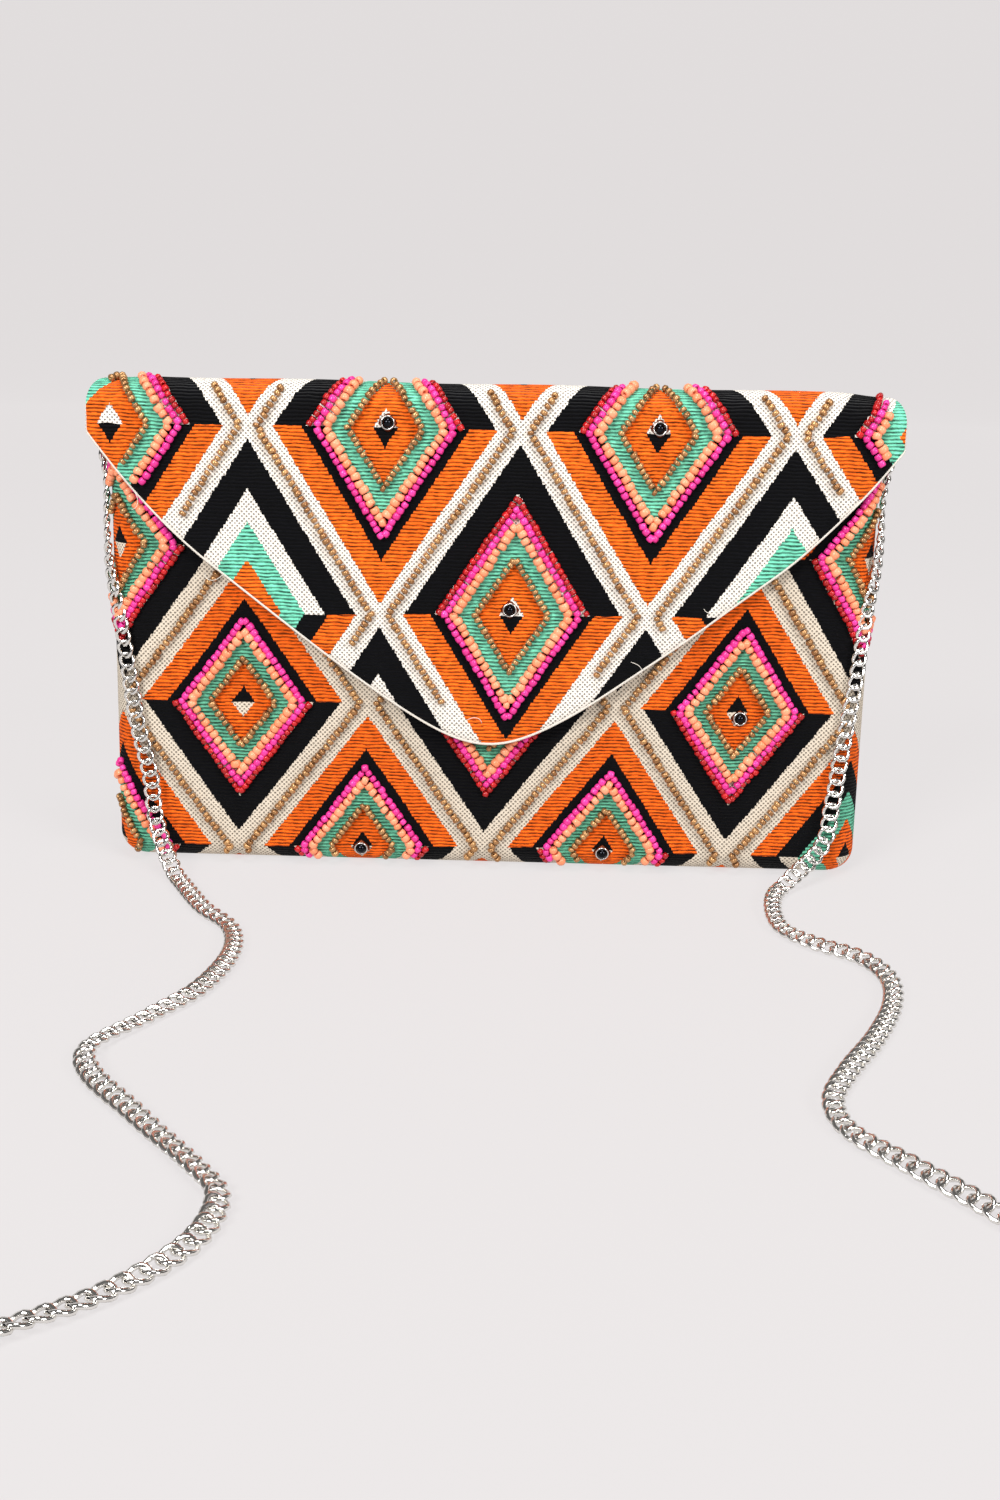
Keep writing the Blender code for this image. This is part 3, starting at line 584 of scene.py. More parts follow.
def makeStrip(name, drops, half, out, thick, finish, toRepeat, columns=181):
    # a stretch of the folded strip, faced away from the fold's middle line
    u = np.linspace(-half, half, columns)[None]
    v = drops[:, None]
    grid = stripPlace(u, v, out)
    outward = grid - np.array([0, purse["foldY"], purse["foldZ"]])
    outward[..., 0] = 0
    return addSheet(name, grid, thick, outward, finish, clothMaps(toRepeat, u, -v))


middleDrop = -purse["foldRadius"] * (frontTurn - middleTurn)
strip = {"half": 0.1430, "backTail": 0.0062, "liningOut": -0.0028, "liningThick": 0.0006,
         "liningHalf": 0.1400}
backDrops = np.concatenate([np.linspace(-arcLength - strip["backTail"], -arcLength, 6)[:-1],
                            np.linspace(-arcLength, middleDrop, 22)])
frontDrops = np.linspace(middleDrop, 0.0, 22)
foldBack = makeStrip("fold_back_cloth", backDrops, strip["half"], 0.0, purse["clothThick"], flapCloth,
                     flapToRepeat)
foldFront = makeStrip("fold_front_cloth", frontDrops, strip["half"], 0.0, purse["clothThick"], flapCloth,
                      flapToRepeat)
foldBackLining = makeStrip("fold_back_lining", backDrops, strip["liningHalf"], strip["liningOut"],
                           strip["liningThick"], liningCloth, flapToRepeat, 91)
foldFrontLining = makeStrip("fold_front_lining", frontDrops, strip["liningHalf"], strip["liningOut"],
                            strip["liningThick"], liningCloth, flapToRepeat, 91)

flap = {"columns": 221, "rows": 70, "edgeRound": 0.0013, "edgeReach": 0.0030, "liningInset": 0.0020,
        "liningOut": -0.0028, "pipingRadius": 0.00055, "pipingOut": -0.0012}


def flapGrid(half, inset, columns, rows):
    # x across, and a share of the way from the crease to the V; rows crowd towards the V
    x = np.linspace(-half, half, columns)[None]
    share = np.linspace(0, 1, rows)[:, None]
    share = share * (1.6 - 0.6 * share)
    drop = share * (flapEdge(x) - inset)
    return np.broadcast_to(x, drop.shape), drop


x, drop = flapGrid(strip["half"], 0.0, flap["columns"], flap["rows"])
room = np.minimum((flapEdge(x) - drop) * 0.78, strip["half"] - np.abs(x) + 0.4 * flap["edgeReach"])
share = 1 - np.clip(room / flap["edgeReach"], 0, 1)
rounding = flap["edgeRound"] * (1 - np.sqrt(np.clip(1 - share ** 2, 0, 1)))
rounding = rounding * smoothStep(drop / 0.006)
grid = stripPlace(x, drop, -rounding)
facing = np.zeros_like(grid)
facing[..., 1] = -1.0
flapSheet = addSheet("flap_cloth", grid, purse["clothThick"], facing, flapCloth,
                     clothMaps(flapToRepeat, x, -drop))
x, drop = flapGrid(strip["liningHalf"], flap["liningInset"], 141, 50)
grid = stripPlace(x, drop, flap["liningOut"] - flapWave(x, drop))
flapLining = addSheet("flap_lining_cloth", grid, strip["liningThick"], facing[:1, :1] * np.ones_like(grid),
                      liningCloth, clothMaps(flapToRepeat, x, -drop))
for piece, node in ((flapSheet, "flap_cover"), (flapLining, "flap_lining")):
    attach(piece, "flap")
    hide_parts(node)
print("cloth laid")

# the woven edge runs down one short side, along the V and up the other
x = np.linspace(-strip["half"], strip["half"], 361)
path = stripPlace(x, flapEdge(x), flap["pipingOut"])
ends = [stripPlace(np.full(6, side * strip["half"]), np.linspace(0.0005, 0.9, 6) * flapEdge(strip["half"]),
                   flap["pipingOut"]) for side in (-1, 1)]
path = np.concatenate([ends[0], path, ends[1][::-1]])
flapEdging = addTube("flap_edge_binding", path, flap["pipingRadius"], canvasEdge, 8)
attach(flapEdging, "flap")
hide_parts("flap_piping")

rng = np.random.default_rng(7)
beads = {
    "gold": {"radius": 0.00134, "length": 0.00165, "pitch": 0.00212, "finish": goldGlass},
    "coral": {"radius": 0.00168, "length": 0.00245, "pitch": 0.00265, "finish": coralGlass},
    "magenta": {"radius": 0.00132, "length": 0.00228, "pitch": 0.00248, "finish": magentaGlass},
    "red": {"radius": 0.00116, "length": 0.00195, "pitch": 0.00215, "finish": redGlass},
}
flapRings = {"gold": 0.0128, "coral": 0.0203, "magenta": 0.0236, "red": 0.0262}
bodyRings = {"gold": 0.0121, "coral": 0.0192, "magenta": 0.0225, "red": 0.0250}


def beadShape(radius, length, sides=8):
    # a short barrel with a hole: one closed section turned about the thread, which runs along x
    section = np.array([(0.40, -0.43), (0.80, -0.48), (1.0, -0.22), (1.0, 0.22), (0.80, 0.48), (0.40, 0.43)])
    angle = np.linspace(0, 2 * math.pi, sides, endpoint=False)
    points = np.stack([np.broadcast_to(section[:, 1:2] * length, (6, sides)),
                       section[:, 0:1] * radius * np.cos(angle),
                       section[:, 0:1] * radius * np.sin(angle)], axis=-1)
    return points.reshape(-1, 3), [gridFaces(6, sides, True, True)]


def evenAlong(line, pitch):
    # even places along a polyline, and its direction there
    gone = np.concatenate([[0], np.cumsum(np.linalg.norm(np.diff(line, axis=0), axis=1))])
    count = max(int(gone[-1] / pitch), 1)
    at = (np.arange(count) + 0.5) * gone[-1] / count
    place = np.stack([np.interp(at, gone, line[:, k]) for k in (0, 1)], axis=-1)
    ahead = np.stack([np.interp(at + pitch / 2, gone, line[:, k]) for k in (0, 1)], axis=-1)
    behind = np.stack([np.interp(at - pitch / 2, gone, line[:, k]) for k in (0, 1)], axis=-1)
    return place, unit(ahead - behind)


def densely(corners, toCloth):
    # straight runs between the corners in the repeat, each taken to the cloth
    runs = [np.linspace(a, b, 40)[:-1] for a, b in zip(corners, corners[1:])] + [corners[-1:]]
    return toCloth(np.concatenate(runs))


def ringStrands(column, row, size, half, toCloth, pitch):
    # the diamond |x| + |y| / slope = size, whole or one half of it
    middle = np.array([column * repeat["column"], row * repeat["row"]])
    corner = np.array([(1, 0), (0, repeat["slope"]), (-1, 0), (0, -repeat["slope"]), (1, 0)]) * size + middle
    chosen = {"all": corner, "upper": corner[:3], "lower": corner[2:]}[half]
    return evenAlong(densely(chosen, toCloth), pitch)


def stripeStrands(number, toCloth, pitch, low, high):
    # the zigzag line between two columns, where both families of diamonds meet
    swing = repeat["row"] / repeat["slope"] / 2 * (1 if number % 2 == 0 else -1)
    rows = np.arange(low, high + 1)
    corner = np.stack([repeat["column"] * (number + 0.5) + swing * np.where(rows % 2 == 0, 1, -1),
                       rows * repeat["row"]], axis=-1)
    return evenAlong(densely(corner, toCloth), pitch)


def gather(toCloth, rings, diamonds, stripes, redHalf, rows):
    # every strand of a surface by colour: places on the cloth and directions
    found = {colour: [] for colour in beads}
    for column, row in diamonds:
        for colour, size in rings.items():
            half = redHalf if colour == "red" else "all"
            found[colour].append(ringStrands(column, row, size, half, toCloth, beads[colour]["pitch"])
                                 + (np.zeros(1),))
    for number in stripes:
        place, way = stripeStrands(number, toCloth, beads["gold"]["pitch"], *rows)
        found["gold"].append((place, way, np.ones(1)))
    out = {}
    for colour, strands in found.items():
        place = np.concatenate([s[0] for s in strands])
        way = np.concatenate([s[1] for s in strands])
        striped = np.concatenate([np.full(len(s[0]), s[2][0]) for s in strands])
        out[colour] = (place, way, striped)
    return out


def setBeads(name, colour, place, way, surface, turned, body, nodes=()):
    # each bead lies on the cloth along its thread, a little uneven in place, tilt and shade
    facts = beads[colour]
    point, one, two = surfaceFrame(surface, place[:, 0], place[:, 1], 0.0)
    normal = unit(np.cross(two, one) if turned else np.cross(one, two))
    forward = unit(one * way[:, :1] + two * way[:, 1:])
    side = np.cross(normal, forward)
    loose = rng.normal(size=(len(place), 4))
    forward = unit(forward + side * loose[:, :1] * 0.16 + normal * loose[:, 1:2] * 0.12)
    normal = unit(normal - forward * (normal * forward).sum(1, keepdims=True))
    point = point + normal * facts["radius"] * 0.80 + side * loose[:, 2:3] * 0.00013
    shape, faces = beadShape(facts["radius"], facts["length"])
    scale = 1 + 0.07 * np.clip(loose[:, 3:4, None], -2, 2)
    piece = addCopies(name, point, forward, normal, shape[None] * scale, faces, facts["finish"],
                      rng.random(len(place)))
    if body:
        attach(piece, body)
    if nodes:
        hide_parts(*nodes)
    return piece


def flapSurface(x, height, out=0.0):
    # the flap's cloth counts its height downwards from the crease
    return stripPlace(x, -height, out)


def frontSurface(u, v, out=0.0):
    # the side of the body that faces the front
    return bodyPlace(u, v, -1.0, out)


flapStrands = gather(flapToCloth, flapRings, [(0, 0), (-1, 1), (1, 1), (-3, 1), (3, 1)],
                     range(-4, 4), "upper", (-2, 2))
bodyStrands = gather(bodyToCloth, bodyRings,
                     [(0, 0), (-2, 0), (2, 0), (-1, -1), (1, -1), (-3, -1), (-3, 1), (3, 1)],
                     range(-4, 4), "lower", (-2, 2))
flapNodes = {"gold": ["middle", "left", "right"], "coral": ["middle", "left", "right"],
             "magenta": ["middle", "left", "right"], "red": ["middle"]}
# how far the strands reach: across (stripes, rings), round the fold, from the V, and above the base
span = {"stripe": 0.1310, "ring": 0.1415, "flapAcross": 0.1405, "foldAcross": 0.1375, "foldStripe": -0.0075,
        "foldRing": -0.0125, "stripeMargin": 0.0075, "ringMargin": 0.0028, "marginSlope": 0.78,
        "underFlap": 0.014, "bottom": 0.0032, "top": 0.158}
foldBeads = []
for colour in beads:
    place, way, striped = flapStrands[colour]
    x, drop = place[:, 0], -place[:, 1]
    inside = np.abs(x) < np.where(drop < 0, span["foldAcross"], span["flapAcross"])
    margin = np.where(striped > 0, span["stripeMargin"], span["ringMargin"]) / span["marginSlope"]
    onFlap = inside & (drop >= 0) & (drop < flapEdge(x) - margin)
    onFold = inside & (drop < 0) & (drop > np.where(striped > 0, span["foldStripe"], span["foldRing"]))
    setBeads("flap_" + colour + "_strands", colour, place[onFlap], way[onFlap], flapSurface, False, "flap",
             ["flap_%s_%s_beads" % (where, colour) for where in flapNodes[colour]])
    foldBeads.append(setBeads("fold_" + colour + "_strands", colour, place[onFold], way[onFold], flapSurface,
                              False, None))
    place, way, striped = bodyStrands[colour]
    u, v = place[:, 0], place[:, 1]
    cover = purse["foldZ"] - flapEdge(np.clip(u, -strip["half"], strip["half"])) + span["underFlap"]
    shown = ((np.abs(u) < np.where(striped > 0, span["stripe"], span["ring"]))
             & (v > span["bottom"]) & (v < np.minimum(cover, span["top"])))
    setBeads("front_" + colour + "_strands", colour, place[shown], way[shown], frontSurface, False, "bag",
             ["front_right_%s_beads" % colour])
print("beads threaded")


gem = {"domeRadius": 0.00195, "domeHeight": 0.0021, "domeFoot": 0.0006, "ringRadius": 0.00225,
       "ringWire": 0.00034, "ringHeight": 0.0011, "plate": 0.0031, "plateHeight": 0.0010}


def turned(profile, sides):
    # a profile of radius and height turned about z; a radius of 0 at an end closes it with one point
    angle = np.linspace(0, 2 * math.pi, sides, endpoint=False)
    inner = profile[1:-1]
    points = np.stack([inner[:, :1] * np.cos(angle), inner[:, :1] * np.sin(angle),
                       np.broadcast_to(inner[:, 1:], (len(inner), sides))], axis=-1).reshape(-1, 3)
    points = np.concatenate([points, [[0, 0, profile[0, 1]], [0, 0, profile[-1, 1]]]])
    turn = np.arange(sides)
    last = (len(inner) - 1) * sides
    after = np.roll(turn, -1)
    return points, [gridFaces(len(inner), sides, True),
                    np.stack([after, turn, np.full(sides, len(points) - 2)], axis=-1),
                    np.stack([last + turn, last + after, np.full(sides, len(points) - 1)], axis=-1)]


def gemParts():
    # a dome turned from a quarter circle, a round wire hoop at its foot, and a stamped star plate below
    arc = np.linspace(math.pi / 2, 0.02, 8)
    dome = np.concatenate([[[0, 0.0002]], [[gem["domeRadius"] * 0.9, 0.0003]],
                           np.stack([gem["domeRadius"] * np.sin(arc),
                                     gem["domeFoot"] + gem["domeHeight"] * np.cos(arc)], axis=-1),
                           [[0, gem["domeFoot"] + gem["domeHeight"]]]])
    turn = np.linspace(0, 2 * math.pi, 6, endpoint=False)
    hoop = np.stack([gem["ringRadius"] + gem["ringWire"] * np.cos(turn),
                     gem["ringHeight"] + gem["ringWire"] * np.sin(turn)], axis=-1)
    angle = np.linspace(0, 2 * math.pi, 20, endpoint=False)
    ring = np.stack([hoop[:, :1] * np.cos(angle), hoop[:, :1] * np.sin(angle),
                     np.broadcast_to(hoop[:, 1:], (6, 20))], axis=-1).reshape(-1, 3)
    plate = np.array([(0, -0.0004), (gem["plate"] * 0.95, -0.0002), (gem["plate"], 0.0003),
                      (gem["plate"] * 0.8, gem["plateHeight"]), (0, gem["plateHeight"])])
    platePoints, plateFaces = turned(plate, 24)
    spin = np.arctan2(platePoints[:, 1], platePoints[:, 0])
    # four soft points make the plate a small star
    platePoints[:, :2] *= (0.86 + 0.20 * np.abs(np.cos(2 * spin)) ** 3)[:, None]
    return {"stones": (*turned(dome, 20), darkMirror),
            "stone_rims": (ring, [gridFaces(6, 20, True, True)], silverRing),
            "stone_settings": (platePoints, plateFaces, copperSetting)}


def setGems(name, places, surface, body, nodes):
    # the three parts of a gem stand on the cloth at every place, facing out
    places = np.array(places)
    point, one, two = surfaceFrame(surface, places[:, 0], places[:, 1], 0.0)
    normal = unit(np.cross(one, two))
    forward = unit(one)
    forward = unit(forward - normal * (forward * normal).sum(1, keepdims=True))
    for part, (shape, faces, finish) in gemParts().items():
        piece = addCopies(name + "_" + part, point, forward, normal, shape[None], faces, finish, None)
        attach(piece, body)
        if part == "stones":
            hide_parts(*nodes)


setGems("flap", [(0.0067, -0.0685), (-0.0375, -0.0042), (0.0574, -0.0040)], flapSurface, "flap",
        ["flap_middle_gem", "flap_left_gem", "flap_right_gem"])
setGems("front", [(0.0917, 0.0595), (-0.0466, 0.0066), (0.0434, 0.0070)], frontSurface, "bag",
        ["front_right_gem"])
print("gems set")

chain = {"pitch": 0.00445, "halfLength": 0.00305, "halfWidth": 0.00268, "twist": 0.00062, "wire": 0.00072,
         "around": 14, "section": 6, "offWall": 0.0019, "offFloor": 0.00135, "width": 0.0068}
# beside the bag: height, degrees round the side from its middle to the front, shift inwards, shift away
leftBeside = [(0.1400, 9, 0.0, 0.0), (0.1220, 14, 0.0, 0.0003), (0.1080, 36, 0.0, 0.0003),
              (0.0940, 58, 0.0, 0.0002), (0.0760, 71, 0.0, 0.0), (0.0540, 84, 0.0, 0.0),
              (0.0330, 90, 0.0030, 0.0010), (0.0160, 90, 0.0056, 0.0048)]
rightBeside = [(0.1400, 8, 0.0, 0.0), (0.1250, 24, 0.0, 0.0003), (0.1120, 38, 0.0, 0.0003),
               (0.0970, 57, 0.0, 0.0002), (0.0740, 67, 0.0, 0.0), (0.0490, 81, 0.0, 0.0),
               (0.0290, 90, 0.0, 0.0010), (0.0130, 90, 0.0030, 0.0030)]
leftTable = [(-0.1108, -0.0325), (-0.0964, -0.0598), (-0.0835, -0.0770), (-0.0793, -0.1000),
             (-0.0840, -0.1260), (-0.0957, -0.1460), (-0.1068, -0.1660), (-0.1020, -0.1825),
             (-0.0854, -0.2027), (-0.0657, -0.2265), (-0.0570, -0.2410), (-0.0600, -0.2600),
             (-0.0755, -0.2790)]
farLoop = [(-0.0990, -0.2975), (-0.1090, -0.3200), (-0.0960, -0.3410), (-0.0500, -0.3490),
           (0.0100, -0.3500), (0.0700, -0.3480), (0.1180, -0.3300), (0.1405, -0.2960),
           (0.1400, -0.2620)]
rightTable = [(0.1254, -0.2385), (0.1105, -0.2190), (0.0985, -0.2020), (0.0965, -0.1860),
              (0.1040, -0.1690), (0.1161, -0.1477), (0.1262, -0.1240), (0.1293, -0.1050),
              (0.1240, -0.0895), (0.1110, -0.0780), (0.1022, -0.0640), (0.1022, -0.0430),
              (0.1085, -0.0265)]


def besideBag(side, place):
    # the chain's middle where it touches the round side or the front, and the way out from the wall there
    height, degrees, inwards, away = place
    share = (purse["mouthZ"] - height) / purse["mouthZ"]
    front = purse["frontMouthY"] - purse["frontSpread"] * share
    back = purse["backMouthY"] + purse["backSpread"] * share
    depth = (back - front) / 2
    half = purse["halfWidthMouth"] + purse["halfWidthSpread"] * share
    angle = math.radians(degrees)
    reach = depth + chain["offWall"] + away
    x = half - depth + reach * math.cos(angle) - inwards
    return ((side * x, (front + back) / 2 - reach * math.sin(angle), height),
            (side * math.cos(angle), -math.sin(angle), 0.0))


def chainRoute():
    # from one jump ring beside the bag to the floor, round in front, and back: points and ways out
    ends = []
    for side, node in ((-1, "left_jump_ring"), (1, "right_jump_ring")):
        low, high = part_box(node)
        ends.append((((low[0] + high[0]) / 2, (low[1] + high[1]) / 2, low[2] - 0.0018), (side, 0, 0)))
    left = [besideBag(-1, place) for place in leftBeside]
    right = [besideBag(1, place) for place in reversed(rightBeside)]
    table = [((px, py, chain["offFloor"]), (0, 0, 1)) for px, py in leftTable + farLoop + rightTable]
    every = [ends[0]] + left + table + right + [ends[1]]
    return np.array([e[0] for e in every], float), np.array([e[1] for e in every], float)


def smoothLine(values):
    # a Catmull-Rom curve through the route's points, twenty steps to each stretch
    before = np.concatenate([values[:1], values[:-2]])[:, None]
    start, end = values[:-1][:, None], values[1:][:, None]
    after = np.concatenate([values[2:], values[-1:]])[:, None]
    t = (np.arange(20) / 20)[None, :, None]
    curve = 0.5 * (2 * start + (end - before) * t + (2 * before - 5 * start + 4 * end - after) * t ** 2
                   + (3 * start - before - 3 * end + after) * t ** 3)
    return np.concatenate([curve.reshape(-1, 3), values[-1:]])


def linkShape():
    # a round wire along a closed loop that rises and falls twice, as a curb link is twisted
    t = np.linspace(0, 2 * math.pi, chain["around"], endpoint=False)
    loop = np.stack([chain["halfLength"] * np.cos(t), chain["halfWidth"] * np.sin(t),
                     chain["twist"] * np.sin(2 * t)], axis=-1)
    forward = unit(np.roll(loop, -1, axis=0) - np.roll(loop, 1, axis=0))
    side = unit(np.cross(forward, [0, 0, 1.0]))
    up = np.cross(side, forward)
    angle = np.linspace(0, 2 * math.pi, chain["section"], endpoint=False)
    points = loop[:, None] + chain["wire"] * (side[:, None] * np.cos(angle)[None, :, None]
                                              + up[:, None] * np.sin(angle)[None, :, None])
    return points.reshape(-1, 3), [gridFaces(chain["around"], chain["section"], True, True)]


routePoints, routeFaces = chainRoute()
line = smoothLine(routePoints)
line[:, 2] = np.maximum(line[:, 2], chain["offFloor"])
facing = smoothLine(routeFaces)
gone = np.concatenate([[0], np.cumsum(np.linalg.norm(np.diff(line, axis=0), axis=1))])
total = gone[-1]
count = int(total / chain["pitch"])
print("chain length", round(total, 4), "links", count)


def along(at, values):
    # the values at given lengths along the chain, straight between neighbours
    return np.stack([np.interp(at, gone, values[:, k]) for k in range(3)], axis=-1)


leftCut = gone[np.argmin(np.linalg.norm(line[:, :2] - leftTable[0], axis=1))]
rightCut = gone[np.argmin(np.linalg.norm(line[:, :2] - rightTable[-1], axis=1))]
at = (np.arange(count) + 0.5) * total / count
shape, faces = linkShape()
parts = {}
for name, low, high in (("left_chain_links", 0, leftCut), ("strap_chain_links", leftCut, rightCut),
                        ("right_chain_links", rightCut, total)):
    mine = at[(at >= low) & (at < high)]
    place = along(mine, line)
    forward = unit(along(mine + 0.0022, line) - along(mine - 0.0022, line))
    normal = along(mine, facing)
    normal = unit(normal - forward * (normal * forward).sum(1, keepdims=True))
    # on the floor the chain lies a little rolled, now one way and now the other
    level = smoothStep((0.010 - place[:, 2:3]) / 0.006)
    roll = level * (0.30 * np.sin(mine[:, None] * 41.0 + 0.6))
    normal = unit(normal + np.cross(forward, normal) * roll)
    place = place + np.array([0, 0, 1.0]) * np.abs(roll) * 0.0022
    piece = addCopies(name, place, forward, normal, shape[None], faces, polishedSteel, None)
    steps = max(int((high - low) / 0.012), 15)
    path = along(np.linspace(low, high, steps), line)
    parts[name] = (piece, path, high - low)
for name, node, start, ring in (("left_chain_links", "left_chain_drop", 0, "left_ring"),
                               ("strap_chain_links", "strap_chain", 0, None),
                               ("right_chain_links", "right_chain_drop", -1, "right_ring")):
    piece, path, length = parts[name]
    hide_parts(node)
    if ring:
        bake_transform(piece)
    else:
        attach(piece, "bag")
print("chain linked")

# a few thread ends have come loose along the V and at the mouth of the beadwork
threads = [(-0.1290, 0.030, 0.012, 0.7), (-0.0950, 0.058, 0.009, 2.4), (-0.0100, 0.111, 0.010, -0.9),
           (0.0830, 0.062, 0.011, 1.9), (0.0500, 0.086, 0.008, 0.2)]
for number, (x, drop, length, heading) in enumerate(threads):
    t = np.linspace(0, 1, 14)
    curl = heading + 2.2 * t ** 2
    stepX = np.cumsum(np.cos(curl)) * length / 14
    stepDrop = np.cumsum(np.sin(curl)) * length / 14
    lifted = 0.0008 + 0.0012 * np.sin(t * math.pi)
    path = stripPlace(x + stepX, np.minimum(drop, flapEdge(x)) + stepDrop, lifted)
    thread = addTube("loose_thread_%d" % (number + 1), path, 0.00011, canvasEdge, 5)
    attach(thread, "flap")

for node in ("left_d_ring", "right_d_ring", "left_jump_ring", "right_jump_ring", "snap_socket", "snap_stud"):
    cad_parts[node].data.materials.clear()
    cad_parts[node].data.materials.append(polishedSteel)
for node in ("front_board", "back_board", "base_board", "flap_board"):
    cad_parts[node].data.materials.clear()
    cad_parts[node].data.materials.append(greyBoard)

tab = {"half": 0.0026, "loop": 0.00150, "thick": 0.0006, "tail": 0.0050}
for side, word in ((-1, "left"), (1, "right")):
    low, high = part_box(word + "_d_ring")
    bar = np.array([side * 0.1409, (low[1] + high[1]) / 2, 0.1625])
    # a ribbon goes out over the ring's bar and comes back under it
    turn = np.linspace(math.pi / 2, -math.pi / 2, 14)
    overX = np.concatenate([[-tab["tail"], -tab["tail"] / 2], tab["loop"] * np.cos(turn),
                            [-tab["tail"] / 2, -tab["tail"]]])
    overZ = np.concatenate([[tab["loop"]] * 2, tab["loop"] * np.sin(turn), [-tab["loop"] + 0.0003] * 2])
    across = np.linspace(-tab["half"], tab["half"], 7)[None]
    grid = np.stack([bar[0] + side * overX[:, None] + 0 * across, bar[1] + across + 0 * overX[:, None],
                     bar[2] + overZ[:, None] + 0 * across], axis=-1)
    outward = np.stack([side * np.cos(np.arctan2(overZ, np.maximum(overX, 0))), 0 * overX,
                        np.sin(np.arctan2(overZ, np.maximum(overX, 0)))], axis=-1)[:, None] + 0 * grid
    run = np.concatenate([[0], np.cumsum(np.hypot(np.diff(overX), np.diff(overZ)))])
    maps = {"cloth": np.stack(np.broadcast_arrays(run[:, None], across), axis=-1)}
    ribbon = addSheet(word + "_tab_ribbon", grid, tab["thick"], outward, canvasEdge, maps)
    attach(ribbon, "bag")
    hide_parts(word + "_ring_tab")

# the body lining lies inside the boards, so it goes round a shorter way than the cloth
liningRound = np.linspace(-purse["halfGirth"], purse["halfGirth"], bodySheet["columns"])
liningRows = bodyRows(purse["mouthZ"] - 0.0010)
for piece, side, board in ((frontLining, -1.0, "front_board"), (backLining, 1.0, "back_board")):
    wide = pathLength(bodyPlace(liningRound, purse["mouthZ"] / 2, side, bodySheet["liningOut"], 0.0))
    tall = pathLength(bodyPlace(0.0, liningRows, side, bodySheet["liningOut"], 0.0))
across = np.linspace(-strip["half"], strip["half"], 400)
flapArea = float(flapEdge(across).mean() * 2 * strip["half"])
foldStart, foldMiddle, foldEnd = (tuple(stripPlace(0.0, drop)) for drop in (-arcLength, middleDrop, 0.0))
for piece, drops, half in ((foldBack, backDrops, strip["half"]), (foldFront, frontDrops, strip["half"]),
                           (foldBackLining, backDrops, strip["liningHalf"]),
                           (foldFrontLining, frontDrops, strip["liningHalf"])):
    back = drops[0] < middleDrop - 1e-6
    # a lining bends on a smaller radius than the cloth outside it, so it is cut shorter
    out = 0.0 if half == strip["half"] else strip["liningOut"] - strip["liningThick"] / 2
    pathLength(stripPlace(0.0, drops, out))
    bodies, low, high = (("bag", "top_fold"), foldStart, foldMiddle) if back else (
        ("top_fold", "flap"), foldMiddle, foldEnd)
    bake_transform(piece)
for piece in foldBeads:
    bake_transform(piece)
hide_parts("top_fold_cover")
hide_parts("top_fold_lining")

floorFinish = newFinish(
    "matt_paper_backdrop", Roughness=0.95, Base_Color=linear("#4A4949"), Emission_Color=linear("#EBE7E7"),
    Emission_Strength=0.85)[0]
# a flat round floor whose rim curves up on every side, in a quarter circle and then straight
studio = {"flat": 2.6, "curve": 1.0, "top": 2.3, "below": -0.0004}
sweep = np.linspace(0, math.pi / 2, 16)
reach = np.concatenate([[0.02, 0.5, 1.2], studio["flat"] + studio["curve"] * np.sin(sweep),
                        [studio["flat"] + studio["curve"]]])
lift = np.concatenate([[0.0, 0.0, 0.0], studio["curve"] * (1 - np.cos(sweep)), [studio["top"]]])
angle = np.linspace(0, 2 * math.pi, 72, endpoint=False)
grid = np.stack(np.broadcast_arrays(reach[:, None] * np.cos(angle), reach[:, None] * np.sin(angle),
                                    lift[:, None] + studio["below"]), axis=-1)
centre = np.full(72, grid[..., 0].size)
spoke = np.arange(72)
floor = addPiece("studio_floor", np.concatenate([grid.reshape(-1, 3), [[0, 0, studio["below"]]]]),
                 [gridFaces(len(reach), 72, True), np.stack([np.roll(spoke, -1), spoke, centre], axis=-1)],
                 floorFinish)

world = scene.world or bpy.data.worlds.new("studio")
scene.world = world
world.use_nodes = True
background = world.node_tree.nodes["Background"]
background.inputs[0].default_value = linear("#F4F2F0")
background.inputs[1].default_value = 0.16


def addToScene(thing, axes, spot):
    # a lamp or camera whose x, y and z axes are the columns of a matrix, at a spot
    thing.matrix_world = Matrix([[*axes[k], spot[k]] for k in range(3)] + [[0, 0, 0, 1]])
    scene.collection.objects.link(thing)


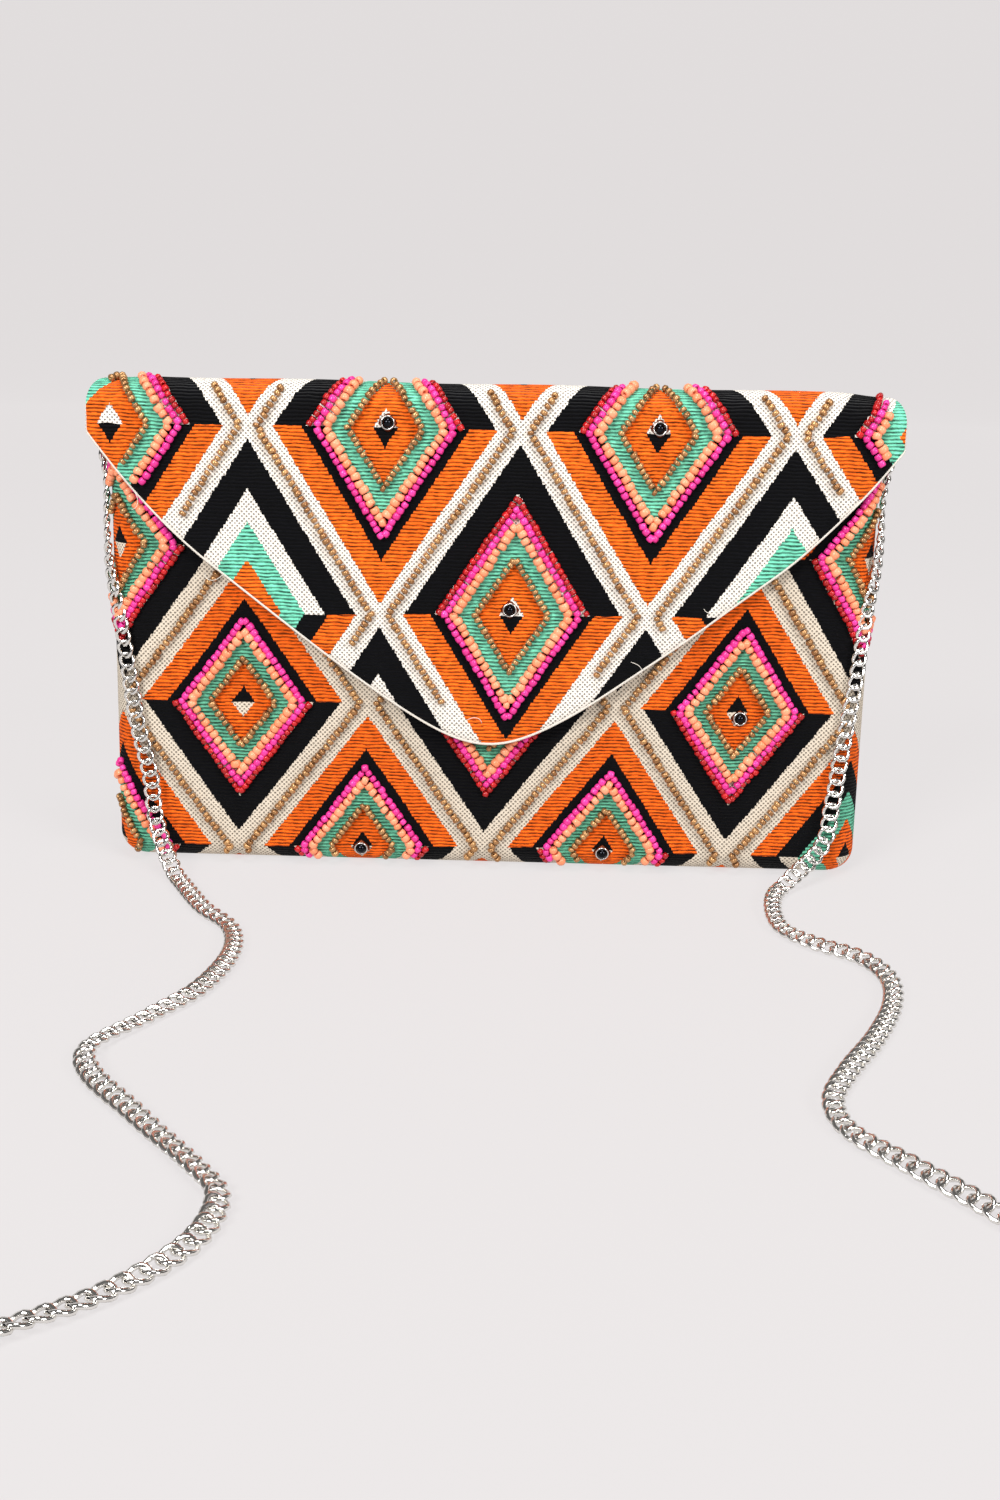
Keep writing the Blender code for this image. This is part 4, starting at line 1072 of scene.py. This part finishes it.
lamps = {"key": ((-0.60, -1.05, 0.85), 0.42, 15.0), "fill": ((0.85, -0.85, 0.65), 0.42, 8.5),
         "top": ((0.05, -0.25, 1.25), 0.42, 8.0)}
for name, (spot, size, power) in lamps.items():
    lamp = bpy.data.lights.new(name, "AREA")
    lamp.shape = "SQUARE"
    lamp.size = size
    lamp.energy = power
    aim = unit(np.array(spot) - np.array([0, -0.05, 0.06]))
    side = unit(np.cross([0, 0, 1.0], aim))
    turn = np.column_stack([side, np.cross(aim, side), aim])
    addToScene(bpy.data.objects.new(name, lamp), turn, spot)

shot = {"place": (0.0085, -0.56314, 0.20334), "turn": 0.0074, "down": 0.27675, "roll": 0.0241, "lens": 37.70}
camera = bpy.data.cameras.new("camera")
camera.sensor_fit = "VERTICAL"
camera.sensor_height = 36.0
camera.lens = shot["lens"]
camera.clip_start = 0.01
cameraObject = bpy.data.objects.new("camera", camera)
right = np.array([math.cos(shot["turn"]), math.sin(shot["turn"]), 0.0])
ahead = np.array([-math.sin(shot["turn"]) * math.cos(shot["down"]),
                  math.cos(shot["turn"]) * math.cos(shot["down"]), -math.sin(shot["down"])])
up = np.cross(right, ahead)
cameraX = math.cos(shot["roll"]) * right + math.sin(shot["roll"]) * up
cameraY = -math.sin(shot["roll"]) * right + math.cos(shot["roll"]) * up
axes = np.column_stack([cameraX, cameraY, -ahead])
addToScene(cameraObject, axes, shot["place"])
scene.camera = cameraObject
scene.view_settings.view_transform = "Standard"
# dark cards behind the camera and at the sides give the metal something to mirror
blackCard = newFinish("black_felt_card", Base_Color=linear("#08080A"), Roughness=1.0)[0]
cards = {"card_behind": ((-1.4, -2.0, 0.02), (1.4, -2.0, 0.80)),
         "card_left": ((-1.5, -1.3, 0.02), (-1.3, 0.7, 0.70)),
         "card_right": ((1.3, -1.3, 0.02), (1.5, 0.7, 0.70))}
for name, (low, high) in cards.items():
    corners = np.array([(low[0], low[1], low[2]), (high[0], high[1], low[2]), (high[0], high[1], high[2]),
                        (low[0], low[1], high[2])])
    card = addPiece(name, corners, [np.array([[0, 1, 2, 3]])], blackCard)
    card.visible_camera = False
print("studio set")
